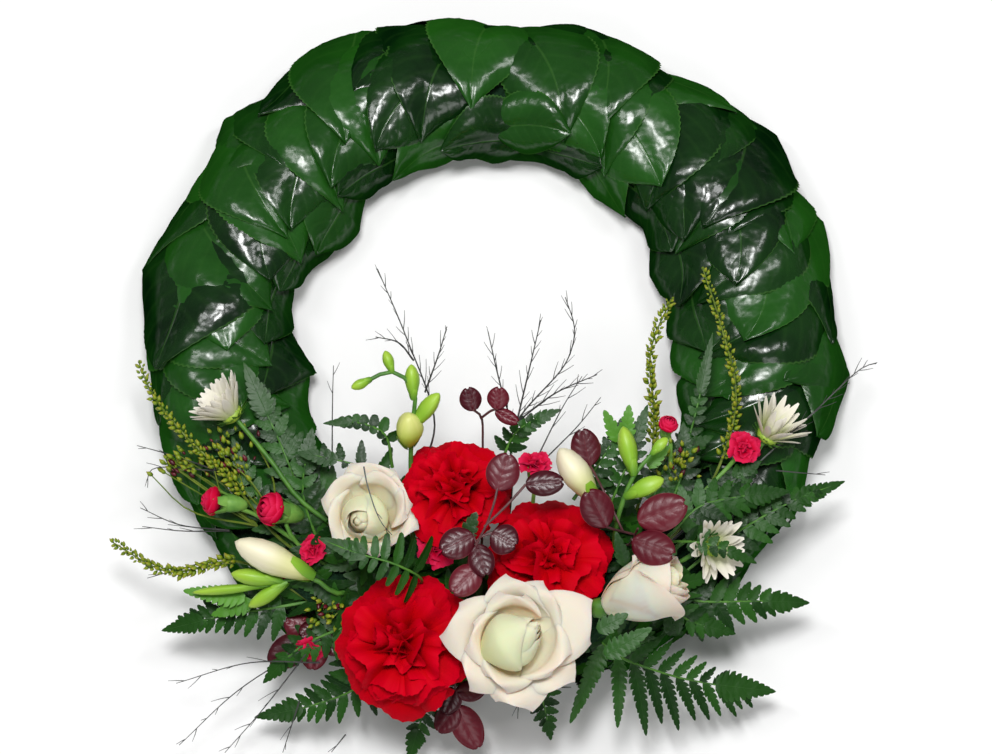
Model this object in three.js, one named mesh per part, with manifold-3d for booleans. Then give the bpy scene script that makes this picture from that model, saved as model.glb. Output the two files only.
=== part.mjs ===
// A memorial wreath that lies on its flat back: a foam ring in a plastic tray, covered with broad glossy
// leaves that lap over each other, with a spray of flowers, fern and twigs standing in a block of foam on
// its lower part. Millimetres, +Z up, with the crown of the ring towards +Y. The whole of it is moved at
// the end so that the middle of its underside is the origin.
import * as THREE from "three";
import { mergeVertices } from "three/addons/utils/BufferGeometryUtils.js";
import Module from "manifold-3d";

const wasm = await Module();
wasm.setup();

// Ring and tray
const ringY = 8; // of the ring's middle, whose x is 0
const ringRadius = 154; // to the middle of the foam's section
const foamRadius = 31; // of the round top of that section
const foamCentre = 10; // height of the middle of the round
const trayWall = 1.7;
const trayFloor = 2.5;
const trayHeight = 9;
const clearance = 0.35; // between pieces that touch
const ringSegments = 36;

// Block of foam that holds the spray, as an arc on the ring
const blockInner = 124;
const blockOuter = 170;
const blockFrom = 231; // degrees, counted from +X towards +Y
const blockTo = 309;
const blockTop = 60;
const blockBottom = foamCentre + foamRadius + clearance;
const blockEdge = 3; // chamfer

// Leaves on the ring
const leafThickness = 1.1;
const leafLength = 76;
const leafHalfWidth = 27;
const leafLift = 2.6; // of a row's foot above the foam
const leafSlope = 0.15; // how fast a row rises towards its tips, so that it lies over the next
const rowPitch = 15; // degrees between the feet of two rows
const drapeRadius = foamRadius + 5; // round which the leaves bend
const drapeSwell = 0.15; // how much further out than round the leaves stand at the section's sides
const leafOutline = [[0, 0], [0.13, 0.68], [0.45, 1], [0.8, 0.62], [1, 0]];
const leafFold = 1.2; // how far a leaf's edges stand above its midrib
const headingSway = 5; // degrees by which headings vary
const lengthSway = 3; // by which lengths vary
const swayPerRow = 2.4; // radians of the wave that spreads both
const swayPerLeaf = 1.7;
const firstFoot = 4; // how far down its side from the crown a side's first row starts
const rowsDown = { left: 9, right: 10 };
const crownOver = 6; // how far the crown leaf lies from the crest towards the outside
const crownSlant = 0.12;
const crownLift = 11; // above the rows under it
const pinRadius = 0.7; // of the pins that hold a row's leaves together
const pinPlace = 0.34; // how far along a leaf it is pinned, as a share of its length
const pinLength = 3.8;
const pinStart = 0.1; // above the middle of the lower leaf
// For each leaf of a row: how far it starts from the crest towards the outside, its heading in degrees away
// from the ring's direction, how far along it starts, and its lift.
const rowLeaves = [
  { over: 40, heading: -14, start: 0, lift: 0 },
  { over: 9, heading: -13, start: 7, lift: 2.6 },
  { over: -28, heading: -5, start: 1, lift: 0 },
];
const fullRow = { leaves: rowLeaves, length: leafLength, halfWidth: leafHalfWidth };
const lastFullRow = 7;
// The next row is of shorter leaves, and the ones after it cover only the outer wall beside the spray.
const shortRow = {
  leaves: rowLeaves.map((leaf) => ({ ...leaf, heading: leaf.heading / 2 })),
  length: 52,
  halfWidth: 25,
};
const wallRow = {
  leaves: [
    { over: 43, heading: -6, start: 0, lift: 0 },
    { over: 45, heading: -4, start: 17, lift: 2.6 },
  ],
  length: 50,
  halfWidth: 21,
};

// Stems and branches
const stemRadius = {
  carnation: 2.2, rose: 2.2, smallCarnation: 1.3, daisy: 1.3, freesia: 1.5, fern: 1, redLeaf: 1.1, spike: 1,
  twig: 0.8,
};
const branchRadius = { smallCarnation: 1.2, freesia: 1.3, redLeaf: 1, twig: 0.7 };
const bloomGap = 1.014; // times a carnation's size, cut out of the rose beside it

const up = new THREE.Vector3(0, 0, 1);
const vec = (point) => new THREE.Vector3(...point);
const radians = THREE.MathUtils.degToRad;
// A point by its angle and radius round the ring's middle.
const polar = (angle, radius, height) =>
  [radius * Math.cos(radians(angle)), ringY + radius * Math.sin(radians(angle)), height];

// Solids

// A closed geometry as a solid that faces out, whichever way its profile or outline runs.
function solidOf(geometry) {
  const bare = new THREE.BufferGeometry();
  bare.setAttribute("position", geometry.getAttribute("position").clone());
  if (geometry.index) bare.setIndex(geometry.index);
  const merged = mergeVertices(bare, 1e-3);
  const vertProperties = merged.getAttribute("position").array;
  const triVerts = new Uint32Array(merged.index.array);
  const solid = new wasm.Manifold(new wasm.Mesh({ numProp: 3, vertProperties, triVerts }));
  if (solid.volume() > 0) return solid;
  return new wasm.Manifold(new wasm.Mesh({ numProp: 3, vertProperties, triVerts: triVerts.reverse() }));
}

function geometryOf(solid) {
  const mesh = solid.getMesh();
  const geometry = new THREE.BufferGeometry();
  geometry.setAttribute("position", new THREE.BufferAttribute(new Float32Array(mesh.vertProperties), 3));
  geometry.setIndex(new THREE.BufferAttribute(new Uint32Array(mesh.triVerts), 1));
  geometry.computeVertexNormals();
  return geometry;
}

function join(geometries) {
  return geometryOf(geometries.map(solidOf).reduce((whole, part) => whole.add(part)));
}

// What is left of one piece when others are cut out of it, without any crumb cut loose.
function cut(geometry, tools) {
  const left = tools.map(solidOf).reduce((whole, tool) => whole.subtract(tool), solidOf(geometry));
  const parts = left.decompose().sort((a, b) => b.volume() - a.volume());
  return geometryOf(parts[0]);
}

// Turns a geometry that is made round +Z so that it stands at a point and faces along a direction.
function aim(geometry, point, direction) {
  const turn = new THREE.Quaternion().setFromUnitVectors(up, vec(direction).normalize());
  return geometry.applyQuaternion(turn).translate(...point);
}

function lathe(profile, segments) {
  const points = profile.map(([radius, height]) => new THREE.Vector2(radius, height));
  return new THREE.LatheGeometry(points, segments).rotateX(Math.PI / 2);
}

// A lathed head whose outer parts are pushed in and out round it, as petals are.
function lobed(profile, segments, lobes, depth) {
  const geometry = lathe(profile, segments);
  const widest = Math.max(...profile.map(([radius]) => radius));
  const position = geometry.getAttribute("position");
  for (let i = 0; i < position.count; i++) {
    const [x, y] = [position.getX(i), position.getY(i)];
    const reach = Math.hypot(x, y) / widest;
    const scale = 1 + depth * reach * reach * Math.cos(lobes * Math.atan2(y, x));
    position.setXY(i, x * scale, y * scale);
  }
  return geometry;
}

function tube(points, radius, sides = 4, steps = points.length * 2 - 2) {
  const section = new THREE.Shape();
  for (let i = 0; i < sides; i++) {
    const angle = (2 * Math.PI * i) / sides;
    section[i ? "lineTo" : "moveTo"](radius * Math.cos(angle), radius * Math.sin(angle));
  }
  const path = new THREE.CatmullRomCurve3(points.map(vec), false, "centripetal");
  return new THREE.ExtrudeGeometry(section, { steps, extrudePath: path, bevelEnabled: false });
}

// A thin closed sheet. The outline is a list of [along, half width]; place gives a point's place in space.
function sheet(outline, columns, thickness, place) {
  const positions = [];
  const rows = outline.map(([along, halfWidth]) => {
    const row = { first: positions.length / 3, last: halfWidth === 0 ? 0 : columns };
    for (let column = 0; column <= row.last; column++) {
      const across = row.last ? halfWidth * ((2 * column) / columns - 1) : 0;
      for (const lift of [thickness / 2, -thickness / 2]) {
        positions.push(...place(along, across, lift).toArray());
      }
    }
    return row;
  });
  const corner = (row, column, face) => row.first + 2 * Math.min(column, row.last) + face;
  const index = [];
  const triangle = (a, b, c) => {
    if (a !== b && b !== c && a !== c) index.push(a, b, c);
  };
  const quad = (a, b, c, d) => {
    triangle(a, b, c);
    triangle(a, c, d);
  };
  for (let i = 0; i + 1 < rows.length; i++) {
    const [near, far] = [rows[i], rows[i + 1]];
    for (let j = 0; j < columns; j++) {
      quad(corner(near, j, 0), corner(far, j, 0), corner(far, j + 1, 0), corner(near, j + 1, 0));
      quad(corner(near, j + 1, 1), corner(far, j + 1, 1), corner(far, j, 1), corner(near, j, 1));
    }
    quad(corner(near, 0, 1), corner(far, 0, 1), corner(far, 0, 0), corner(near, 0, 0));
    const [last, next] = [corner(near, columns, 0), corner(far, columns, 0)];
    quad(last, next, corner(far, columns, 1), corner(near, columns, 1));
  }
  const geometry = new THREE.BufferGeometry();
  geometry.setAttribute("position", new THREE.BufferAttribute(new Float32Array(positions), 3));
  geometry.setIndex(index);
  return geometry;
}

// Stems stand in holes in the foam: each stem's first stretch is cut out of the block a little wider.

const stemHoles = [];

function stem(points, radius) {
  const [foot, next] = [vec(points[0]), vec(points[1])];
  const below = foot.clone().add(foot.clone().sub(next).normalize());
  stemHoles.push(tube([below.toArray(), ...points.slice(1)], radius + clearance));
  return tube(points, radius);
}

// Ring

function makeTray() {
  const [inner, outer] = [ringRadius - foamRadius, ringRadius + foamRadius];
  const profile = [
    [inner, 0], [outer, 0], [outer, trayHeight], [outer - trayWall, trayHeight],
    [outer - trayWall, trayFloor], [inner + trayWall, trayFloor],
    [inner + trayWall, trayHeight], [inner, trayHeight], [inner, 0],
  ];
  return lathe(profile, ringSegments).translate(0, ringY, 0);
}

function makeFoamRing() {
  const low = foamRadius - trayWall - clearance;
  const shelf = trayHeight + clearance;
  const arc = [];
  const arcSteps = 7;
  for (let i = 0; i <= arcSteps; i++) {
    const angle = (Math.PI * i) / arcSteps;
    arc.push([ringRadius + foamRadius * Math.cos(angle), foamCentre + foamRadius * Math.sin(angle)]);
  }
  return lathe([
    [ringRadius - low, trayFloor + clearance], [ringRadius + low, trayFloor + clearance],
    [ringRadius + low, shelf], [ringRadius + foamRadius, shelf], ...arc,
    [ringRadius - foamRadius, shelf], [ringRadius - low, shelf], [ringRadius - low, trayFloor + clearance],
  ], ringSegments).translate(0, ringY, 0);
}

function makeBlock() {
  const shape = new THREE.Shape();
  const [from, to] = [radians(blockFrom), radians(blockTo)];
  shape.absarc(0, 0, blockOuter, from, to, false);
  shape.absarc(0, 0, blockInner, to, from, true);
  shape.closePath();
  const block = new THREE.ExtrudeGeometry(shape, {
    depth: blockTop - blockBottom - 2 * blockEdge,
    bevelSize: blockEdge,
    bevelThickness: blockEdge,
    bevelSegments: 1,
    curveSegments: 9,
  });
  return block.translate(0, ringY, blockBottom + blockEdge);
}

// Leaves of the ring

// A point over the ring: how far down a side from the crown, how far over from the crest towards the
// outside, and how high above the foam. Past the widest part of the section a leaf hangs straight down.
function overRing(side, along, over, lift) {
  const turn = Math.PI / 2 + (side * along) / ringRadius;
  const tilt = over / drapeRadius;
  const round = THREE.MathUtils.clamp(tilt, -Math.PI / 2, Math.PI / 2);
  const swell = 1 + drapeSwell * (1 - Math.cos(round));
  const radius = ringRadius + (foamRadius + lift) * swell * Math.sin(round);
  const height = foamCentre + (foamRadius + lift) * Math.cos(round) - Math.abs(tilt - round) * drapeRadius;
  return new THREE.Vector3(radius * Math.cos(turn), ringY + radius * Math.sin(turn), height);
}

function ringLeaf(side, foot, leaf, length, halfWidth) {
  const outline = leafOutline.map(([along, width]) => [along * length, width * halfWidth]);
  const [ahead, aside] = [Math.cos(radians(leaf.heading)), Math.sin(radians(leaf.heading))];
  return sheet(outline, 4, leafThickness, (u, v, lift) => {
    const along = leaf.start + u * ahead - v * aside;
    const over = leaf.over + u * aside + v * ahead;
    const fold = leafFold * Math.abs(v / halfWidth);
    return overRing(side, foot + along, over, leafLift + leaf.lift + leafSlope * along + fold + lift);
  });
}

// One row of leaves, with its foot at a number of pitches down a side from the crown.
function makeLeafRow(side, row) {
  const afterFull = row === lastFullRow + 1 ? shortRow : wallRow;
  const { leaves, length, halfWidth } = row <= lastFullRow ? fullRow : afterFull;
  const foot = radians(rowPitch) * ringRadius * (row - 1) + firstFoot;
  const blades = leaves.map((leaf, place) => {
    const wave = swayPerRow * row + swayPerLeaf * place;
    const turned = { ...leaf, heading: leaf.heading + headingSway * Math.sin(wave + side) };
    return ringLeaf(side, foot, turned, length + lengthSway * Math.cos(wave), halfWidth);
  });
  // Each pin runs from inside one leaf to inside its neighbour, midway between their midribs.
  const pins = leaves.slice(1).map((leaf, place) => {
    const pair = [leaf, leaves[place]];
    const along = pinPlace * length + Math.max(...pair.map(({ start }) => start));
    const overs = pair.map(({ over, start, heading }) =>
      over + (along - start) * Math.tan(radians(heading)));
    const low = leafLift + leafSlope * along + pinStart;
    const ends = [low, low + pinLength].map((lift) =>
      overRing(side, foot + along, (overs[0] + overs[1]) / 2, lift).toArray());
    return tube(ends, pinRadius, 3, 1);
  });
  return join([...blades, ...pins]);
}

function makeCrownLeaf() {
  const outline = leafOutline.map(([along, width]) => [along * leafLength, width * leafHalfWidth]);
  return sheet(outline, 4, leafThickness, (u, v, lift) => {
    const fold = leafFold * Math.abs(v / leafHalfWidth);
    const over = crownOver + v - crownSlant * u;
    return overRing(1, u - leafLength / 2, over, leafLift + crownLift + fold + lift);
  });
}

// Flowers

// A carnation's frilled head and its calyx, the middle of the head at the origin, facing +Z. The profile is
// that of a full bloom, and a small one is the same with fewer petals.
const bloomRadius = 36;
const bloomProfile = [
  [0, -27], [6, -25], [7, -16], [26, -11], [36, -1], [33, 7], [22, 14], [10, 17], [0, 18],
];
const smallBloomProfile = [[0, -30], [10, -26], [12, -14], [36, -1], [30, 12], [0, 18]];
const lobeDepth = { carnation: 0.06, rose: 0.1, daisy: 0.14 };

function carnationHead(radius, profile = bloomProfile, segments = 16) {
  const scale = radius / bloomRadius;
  const scaled = profile.map(([r, z]) => [r * scale, z * scale]);
  return lobed(scaled, segments, segments / 2, lobeDepth.carnation);
}

// A rose: a cup of petals in a collar of reflexed ones.
function roseHead(scale, collar) {
  const profile = [
    [0, -21], [9, -20], [21, -9], [collar, 2], [collar - 1.5, 4.6],
    [23, 3.5], [24, 12], [19, 20], [9, 21], [0, 18],
  ].map(([r, z]) => [r * scale, z * scale]);
  return lobed(profile, 15, 5, lobeDepth.rose);
}

// A daisy with its petals raised in a cup; spread is how far the tips stand from its axis, rise how high.
function daisyHead(spread, rise) {
  const profile = [
    [0, -3], [3.5, -2.5], [spread, rise], [spread - 1, rise + 1.4], [6, 2.4], [5, 4.4], [0, 5.4],
  ];
  return lobed(profile, 20, 10, lobeDepth.daisy);
}

// A flower on its stem: the head, aimed, with the stem running from its foot in the foam to under the head.
function flower(head, centre, axis, path, radius, reach) {
  const under = vec(centre).sub(vec(axis).normalize().multiplyScalar(reach));
  return join([aim(head, centre, axis), stem([...path, under.toArray()], radius)]);
}

// The same as a cutting tool: the head alone, a little larger all round.
function around(head, centre, axis) {
  const grown = head.clone().scale(bloomGap, bloomGap, bloomGap);
  return aim(grown, centre, axis);
}

const carnations = [
  {
    centre: [-20, -74, 88], axis: [0, 0.3, 1], radius: 29,
    path: [polar(261, 138, 50), [-20, -112, 52], [-20, -94, 54]],
  },
  {
    centre: [31, -112, 88], axis: [0.05, 0.1, 1], radius: 33,
    path: [[30, -131, 47], [30, -120, 57]],
  },
  {
    centre: [-48, -160, 87], axis: [-0.1, -0.12, 1], radius: 36,
    path: [[-44, -148, 47], [-45, -153, 56]],
  },
];

const roses = [
  {
    centre: [-64, -88, 84], axis: [-0.1, 0.05, 1], scale: 0.84, collar: 34,
    path: [polar(238, 140, 49), [-66, -98, 57]],
  },
  {
    centre: [13, -158, 100], axis: [0.05, -0.12, 1], scale: 0.96, collar: 36,
    path: [[8, -148, 47], [9, -151, 62]],
  },
  {
    centre: [77, -132, 86], axis: [0.9, 0.34, 0.3], scale: 0.9, collar: 25,
    path: [[56, -130, 47], [58, -135, 70]],
  },
];
const carnationReach = 25.5; // from the middle of a full bloom to where its stem ends
const roseReach = 19.5;

function makeCarnation({ centre, axis, radius, path }) {
  const reach = carnationReach * (radius / bloomRadius);
  return flower(carnationHead(radius), centre, axis, path, stemRadius.carnation, reach);
}

function makeRose({ centre, axis, scale, collar, path }) {
  const rose = flower(roseHead(scale, collar), centre, axis, path, stemRadius.rose, roseReach * scale);
  const blooms = carnations.map((one) => around(carnationHead(one.radius), one.centre, one.axis));
  return cut(rose, blooms);
}

// Small carnations on branching stems: the first path is the main stem, the others start from it.
const sprayCarnations = {
  left: {
    stems: [
      [polar(235, 146, 54), [-104, -104, 58], [-119, -88, 64]],
      [[-108, -100, 59.6], [-130, -86, 62], [-146, -81, 64]],
    ],
    heads: [
      { centre: [-120, -86, 73], axis: [-0.1, 0.1, 1], radius: 11 },
      { centre: [-156, -81, 65], axis: [-1, 0, 0.15], radius: 11 },
    ],
  },
  center: {
    stems: [
      [polar(256, 132, 52), [-32, -110, 66]],
    ],
    heads: [
      { centre: [-32, -106, 78], axis: [0, 0.1, 1], radius: 9.5 },
    ],
  },
  right: {
    stems: [
      [polar(304, 132, 53), [104, -84, 62], [132, -57, 64]],
      [[98, -92, 60], [97, -60, 70], [96, -46, 78]],
    ],
    heads: [
      { centre: [137, -52, 70], axis: [0.3, 0.2, 1], radius: 12 },
      { centre: [96, -41, 84], axis: [0.2, 0.6, 1], radius: 7 },
    ],
  },
};

function makeSprayCarnation({ stems, heads }) {
  const parts = heads.map(({ centre, axis, radius }) =>
    aim(carnationHead(radius, smallBloomProfile, 10), centre, axis));
  const [main, ...branches] = stems;
  const ends = heads.map(({ centre, axis, radius }) =>
    vec(centre).sub(vec(axis).normalize().multiplyScalar(0.7 * radius)).toArray());
  parts.push(stem([...main, ends[0]], stemRadius.smallCarnation));
  branches.forEach((branch, i) => parts.push(tube([...branch, ends[i + 1]], branchRadius.smallCarnation)));
  return join(parts);
}

const daisies = [
  {
    centre: [-136, -40, 68], axis: [-0.62, 0.62, 0.5], spread: 17, rise: 17,
    path: [polar(235, 131, 55), [-105, -78, 63], [-120, -58, 66]],
  },
  {
    centre: [150, -44, 64], axis: [0.5, 0.6, 0.6], spread: 17, rise: 17,
    path: [polar(304, 150, 56), [124, -84, 61]],
  },
  {
    centre: [116, -106, 65], axis: [0.1, 0.15, 1], spread: 20, rise: 4,
    path: [polar(303, 154, 50), [104, -111, 58]],
  },
];
const daisyReach = 2;

function makeDaisy({ centre, axis, spread, rise, path }) {
  return flower(daisyHead(spread, rise), centre, axis, path, stemRadius.daisy, daisyReach);
}

// A freesia: a stem with a bud or flower at each of a list of places, from its base to its tip. The profile
// is in shares of a bud's radius and length.
const budProfile = [[0, 0], [0.55, 0.12], [1, 0.55], [0.7, 0.85], [0, 1]];

function bud(base, tip, radius) {
  const direction = vec(tip).sub(vec(base));
  const length = direction.length();
  const shape = lathe(budProfile.map(([r, z]) => [r * radius, z * length]), 6);
  return aim(shape, base, direction.toArray());
}

const freesias = [
  {
    stems: [
      [
        polar(249, 134, 52), [-43, -100, 64], [-44, -60, 74], [-43, -44, 92],
        [-42, -24, 106], [-54, -16, 110], [-66, -21, 110],
      ],
    ],
    buds: [
      { base: [-45, -52, 82], tip: [-44, -38, 103], radius: 7.5 },
      { base: [-43, -44, 92], tip: [-28, -27, 106], radius: 4.6 },
      { base: [-42, -30, 102], tip: [-43, -12, 110], radius: 4 },
      { base: [-53, -17, 109.5], tip: [-57, -5, 112], radius: 3 },
      { base: [-64, -20, 110], tip: [-75, -25, 110], radius: 2.8 },
    ],
  },
  {
    stems: [
      [polar(243, 146, 51), [-84, -130, 66], [-98, -122, 72], [-122, -126, 68]],
    ],
    buds: [
      { base: [-96, -122, 72.6], tip: [-138, -104, 84], radius: 8.5 },
      { base: [-113, -124, 70], tip: [-141, -120, 72], radius: 4.5 },
      { base: [-110, -124, 70], tip: [-132, -137, 62], radius: 4 },
      { base: [-121, -126, 68.4], tip: [-163, -129, 60], radius: 2.6 },
    ],
  },
  {
    stems: [
      [polar(299, 134, 51), [66, -104, 70], [68, -90, 86], [76, -70, 95], [86, -58, 97]],
      [[67, -92, 84], [58, -86, 88], [54, -82, 90]],
    ],
    buds: [
      { base: [56, -84, 89], tip: [36, -55, 95], radius: 8 },
      { base: [76, -70, 95], tip: [70, -44, 101], radius: 5 },
      { base: [71, -81, 91], tip: [92, -72, 98], radius: 5 },
      { base: [85, -59, 97], tip: [94, -50, 99], radius: 3 },
    ],
  },
];

function makeFreesia({ stems, buds }) {
  const [main, ...branches] = stems;
  return join([
    stem(main, stemRadius.freesia),
    ...branches.map((branch) => tube(branch, branchRadius.freesia)),
    ...buds.map(({ base, tip, radius }) => bud(base, tip, radius)),
  ]);
}

// Foliage

// A frond: a bare stalk from the foam, then a midrib with teeth on both sides, widest at a third of its
// length. Bare is the share of the path that has no teeth, and width the longest tooth.
const notchHalfWidth = 1.3; // of a frond between its teeth
const shortestTooth = 2;
const toothSlant = 0.45; // how far a tooth's tip lies ahead of its foot, as a share of its length
const toothSag = 0.1; // how far it hangs, as a share of its length
const stalkOverlap = 0.08; // how far the stalk runs on under the teeth, as a share of the path

function makeFrond({ path, width, bare = 0.3, teeth = 7 }) {
  const curve = new THREE.CatmullRomCurve3(path.map(vec), false, "centripetal");
  const outline = [[bare, 0]];
  for (let i = 0; i < teeth; i++) {
    const share = (i + 0.5) / teeth;
    const reach = width * Math.sin(Math.PI * (0.2 + 0.78 * share) ** 0.75);
    const at = (step) => bare + (1 - bare) * ((i + step) / teeth);
    outline.push([at(0.15), notchHalfWidth], [at(0.6), Math.max(reach, shortestTooth)]);
  }
  outline.push([1, 0]);
  const length = curve.getLength();
  const blade = sheet(outline, 2, 1, (along, across, lift) => {
    const tangent = curve.getTangentAt(along);
    const aside = new THREE.Vector3().crossVectors(tangent, up).normalize();
    const forward = Math.min(along + (toothSlant * Math.abs(across)) / length, 1);
    return curve.getPointAt(forward).addScaledVector(aside, -across)
      .addScaledVector(up, lift - toothSag * Math.abs(across));
  });
  const stalk = [bare * 0.35, bare * 0.7, bare + stalkOverlap].map((at) => curve.getPointAt(at).toArray());
  return join([blade, stem([path[0], ...stalk], stemRadius.fern)]);
}

const fronds = [
  {
    path: [polar(237, 166, 50), [-116, -136, 53], [-150, -141, 46], [-181, -147, 34]],
    width: 17,
  },
  {
    path: [polar(250, 160, 49), [-70, -176, 44], [-98, -188, 34], [-130, -194, 26]],
    width: 21, bare: 0.22,
  },
  {
    path: [polar(258, 158, 48), [-36, -186, 38], [-42, -208, 26], [-46, -224, 18]],
    width: 15, teeth: 6,
  },
  {
    path: [polar(291, 158, 48), [68, -165, 51], [92, -180, 44], [122, -184, 35], [155, -181, 27]],
    width: 32, bare: 0.2, teeth: 9,
  },
  {
    path: [polar(302, 161, 52), [116, -133, 52], [145, -132, 45], [174, -132, 36]],
    width: 21, bare: 0.36,
  },
  {
    path: [polar(305, 143, 56), [98, -97, 72], [112, -84, 75], [134, -78, 71], [162, -74, 64]],
    width: 13, bare: 0.42, teeth: 6,
  },
  {
    path: [polar(305, 164, 54), [130, -98, 57], [165, -78, 56], [194, -66, 46]],
    width: 12, bare: 0.36, teeth: 6,
  },
  {
    path: [polar(236, 126, 50), [-100, -78, 58], [-118, -42, 61], [-136, -3, 64]],
    width: 17, bare: 0.32,
  },
  {
    path: [polar(252, 143, 50), [-42, -120, 80], [-51, -120, 97], [-68, -119, 101], [-97, -105, 95]],
    width: 8, bare: 0.5, teeth: 5,
  },
  {
    path: [polar(305, 138, 49), [98, -72, 58], [110, -36, 63], [121, 13, 67]],
    width: 7, bare: 0.45, teeth: 6,
  },
];

// A round leaf at the end of its own stalk, with its edges bent down.
const roundOutline = [[0, 0], [0.18, 0.72], [0.52, 1], [0.84, 0.72], [1, 0]];
const roundBend = 2.5;

function roundLeaf(base, tip, halfWidth) {
  const start = vec(base);
  const ahead = vec(tip).sub(start);
  const length = ahead.length();
  ahead.normalize();
  const aside = new THREE.Vector3().crossVectors(up, ahead).normalize();
  const normal = new THREE.Vector3().crossVectors(ahead, aside);
  const outline = roundOutline.map(([along, width]) => [along * length, width * halfWidth]);
  return sheet(outline, 2, 1, (u, v, lift) =>
    start.clone().addScaledVector(ahead, u).addScaledVector(aside, v)
      .addScaledVector(normal, lift - roundBend * (v / halfWidth) ** 2));
}

const redLeafSprigs = [
  {
    stems: [
      [polar(267, 134, 52), [-6, -112, 55], [-5, -80, 58], [-5, -50, 70], [-6, -38, 98], [-10, -36, 106]],
      [[-6, -39, 96], [0, -36, 104], [3, -36, 108]],
    ],
    leaves: [
      { base: [-9.6, -36.4, 105], tip: [-13, -25, 110], halfWidth: 6 },
      { base: [2.6, -36, 107.4], tip: [4, -25, 112], halfWidth: 6 },
      { base: [2, -36.5, 106], tip: [14, -43, 108], halfWidth: 4 },
    ],
  },
  {
    stems: [
      [polar(265, 143, 50), [-12, -118, 74], [-12, -115, 98], [-2, -96, 110], [2, -84, 113]],
      [[-4, -99, 109], [10, -86, 112], [18, -80, 113]],
    ],
    leaves: [
      { base: [2, -86, 112.6], tip: [4, -64, 114], halfWidth: 9 },
      { base: [17, -81, 112.8], tip: [35, -75, 113], halfWidth: 7 },
      { base: [-11.6, -115, 97], tip: [-26, -105, 104], halfWidth: 8 },
      { base: [-9, -110, 103], tip: [9, -105, 107], halfWidth: 7 },
      { base: [-12, -116, 95], tip: [-15, -134, 103], halfWidth: 7.5 },
    ],
  },
  {
    stems: [
      [polar(300, 126, 50), [74, -104, 70], [80, -98, 88]],
      [[78, -100, 82], [66, -97, 99], [62, -95, 104]],
    ],
    leaves: [
      { base: [79, -99, 86], tip: [101, -86, 93], halfWidth: 9.5 },
      { base: [79, -99, 85], tip: [96, -106, 112], halfWidth: 8 },
      { base: [63, -95.6, 103], tip: [48, -89, 109], halfWidth: 9 },
    ],
  },
  {
    stems: [
      [polar(241, 158, 49), [-92, -149, 50], [-102, -154, 50]],
    ],
    leaves: [
      { base: [-101, -153.6, 50], tip: [-122, -166, 44], halfWidth: 8 },
      { base: [-99, -152.6, 50.2], tip: [-114, -143, 47], halfWidth: 6 },
      { base: [-96, -151.2, 50.4], tip: [-96, -170, 44], halfWidth: 6.5 },
    ],
  },
  {
    stems: [
      [polar(263, 158, 52), [-20, -180, 50], [-19, -192, 44]],
    ],
    leaves: [
      { base: [-19, -190, 45], tip: [-27, -201, 42], halfWidth: 6 },
      { base: [-19, -190, 44.6], tip: [-6, -214, 34], halfWidth: 8 },
    ],
  },
];

function makeRedLeafSprig({ stems, leaves }) {
  const [main, ...branches] = stems;
  return join([
    stem(main, stemRadius.redLeaf),
    ...branches.map((branch) => tube(branch, branchRadius.redLeaf)),
    ...leaves.map(({ base, tip, halfWidth }) => roundLeaf(base, tip, halfWidth)),
  ]);
}

// A spike of small buds: a stem with pointed buds set round its upper part, smaller towards its tip.
const budCount = 7;
const budSize = 4;
const budTaper = 1.44;
const budLength = 1.4; // times its size
const budTurn = 2.4; // radians from one bud to the next round the stem
const budOffset = 1.2; // of a bud from the middle of the stem

function makeBudSpike({ path, from = 0.46 }) {
  const curve = new THREE.CatmullRomCurve3(path.map(vec), false, "centripetal");
  const parts = [stem(path, stemRadius.spike)];
  for (let i = 0; i < budCount; i++) {
    const at = from + (1 - from) * (i / (budCount - 1));
    const aside = new THREE.Vector3(budOffset, 0, 0).applyAxisAngle(up, budTurn * i);
    const shape = new THREE.OctahedronGeometry(budSize - budTaper * at).scale(1, 1, budLength);
    parts.push(aim(shape, curve.getPointAt(at).add(aside).toArray(), curve.getTangentAt(at).toArray()));
  }
  return join(parts);
}

const budSpikes = [
  {
    path: [
      polar(235, 154, 51), [-118, -97, 56], [-143, -67, 62], [-168, -43, 66], [-186, -20, 64], [-194, -2, 60],
    ],
  },
  { path: [polar(236, 172, 54), [-137, -112, 58], [-176, -117, 56], [-208, -100, 50]] },
  { path: [polar(305, 147, 50), [116, -76, 59], [133, -26, 70], [124, 17, 80], [115, 45, 84]], from: 0.56 },
  { path: [polar(305, 128, 48), [86, -62, 66], [88, -34, 74], [86, 0, 87], [97, 27, 92]], from: 0.56 },
];

// Bare twigs that branch: the first is the main one, the others start from it.
const twigSprays = [
  [
    [polar(257, 129, 50), [-33, -100, 56], [-36, -62, 64], [-31, -38, 84], [-46, 4, 104], [-61, 38, 119]],
    [[-36, -24, 91], [-28, -4, 104], [-24, 8, 112]],
    [[-42, -8, 99], [-50, 0, 108], [-62, 2, 114]],
  ],
  [
    [
      polar(274, 130, 50), [8, -106, 56], [11, -70, 60], [12, -42, 84],
      [40, -10, 108], [44, 6, 116], [39, 22, 122],
    ],
    [[12, -44, 82], [4, -20, 104], [-2, 4, 118]],
    [[13, -41, 85], [20, -14, 106], [26, 10, 120]],
    [[14, -39, 86.6], [34, -26, 100], [56, -18, 112]],
  ],
  [
    [polar(303, 148, 59), [132, -70, 59], [176, -30, 60], [204, -4, 54], [213, 0, 48]],
  ],
];

function makeTwigSpray([main, ...branches]) {
  const twigs = branches.map((branch) => tube(branch, branchRadius.twig));
  return join([stem(main, stemRadius.twig), ...twigs]);
}

// Materials and assembly

const finish = (color, roughness) => new THREE.MeshStandardMaterial({ color, roughness, metalness: 0 });

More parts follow.
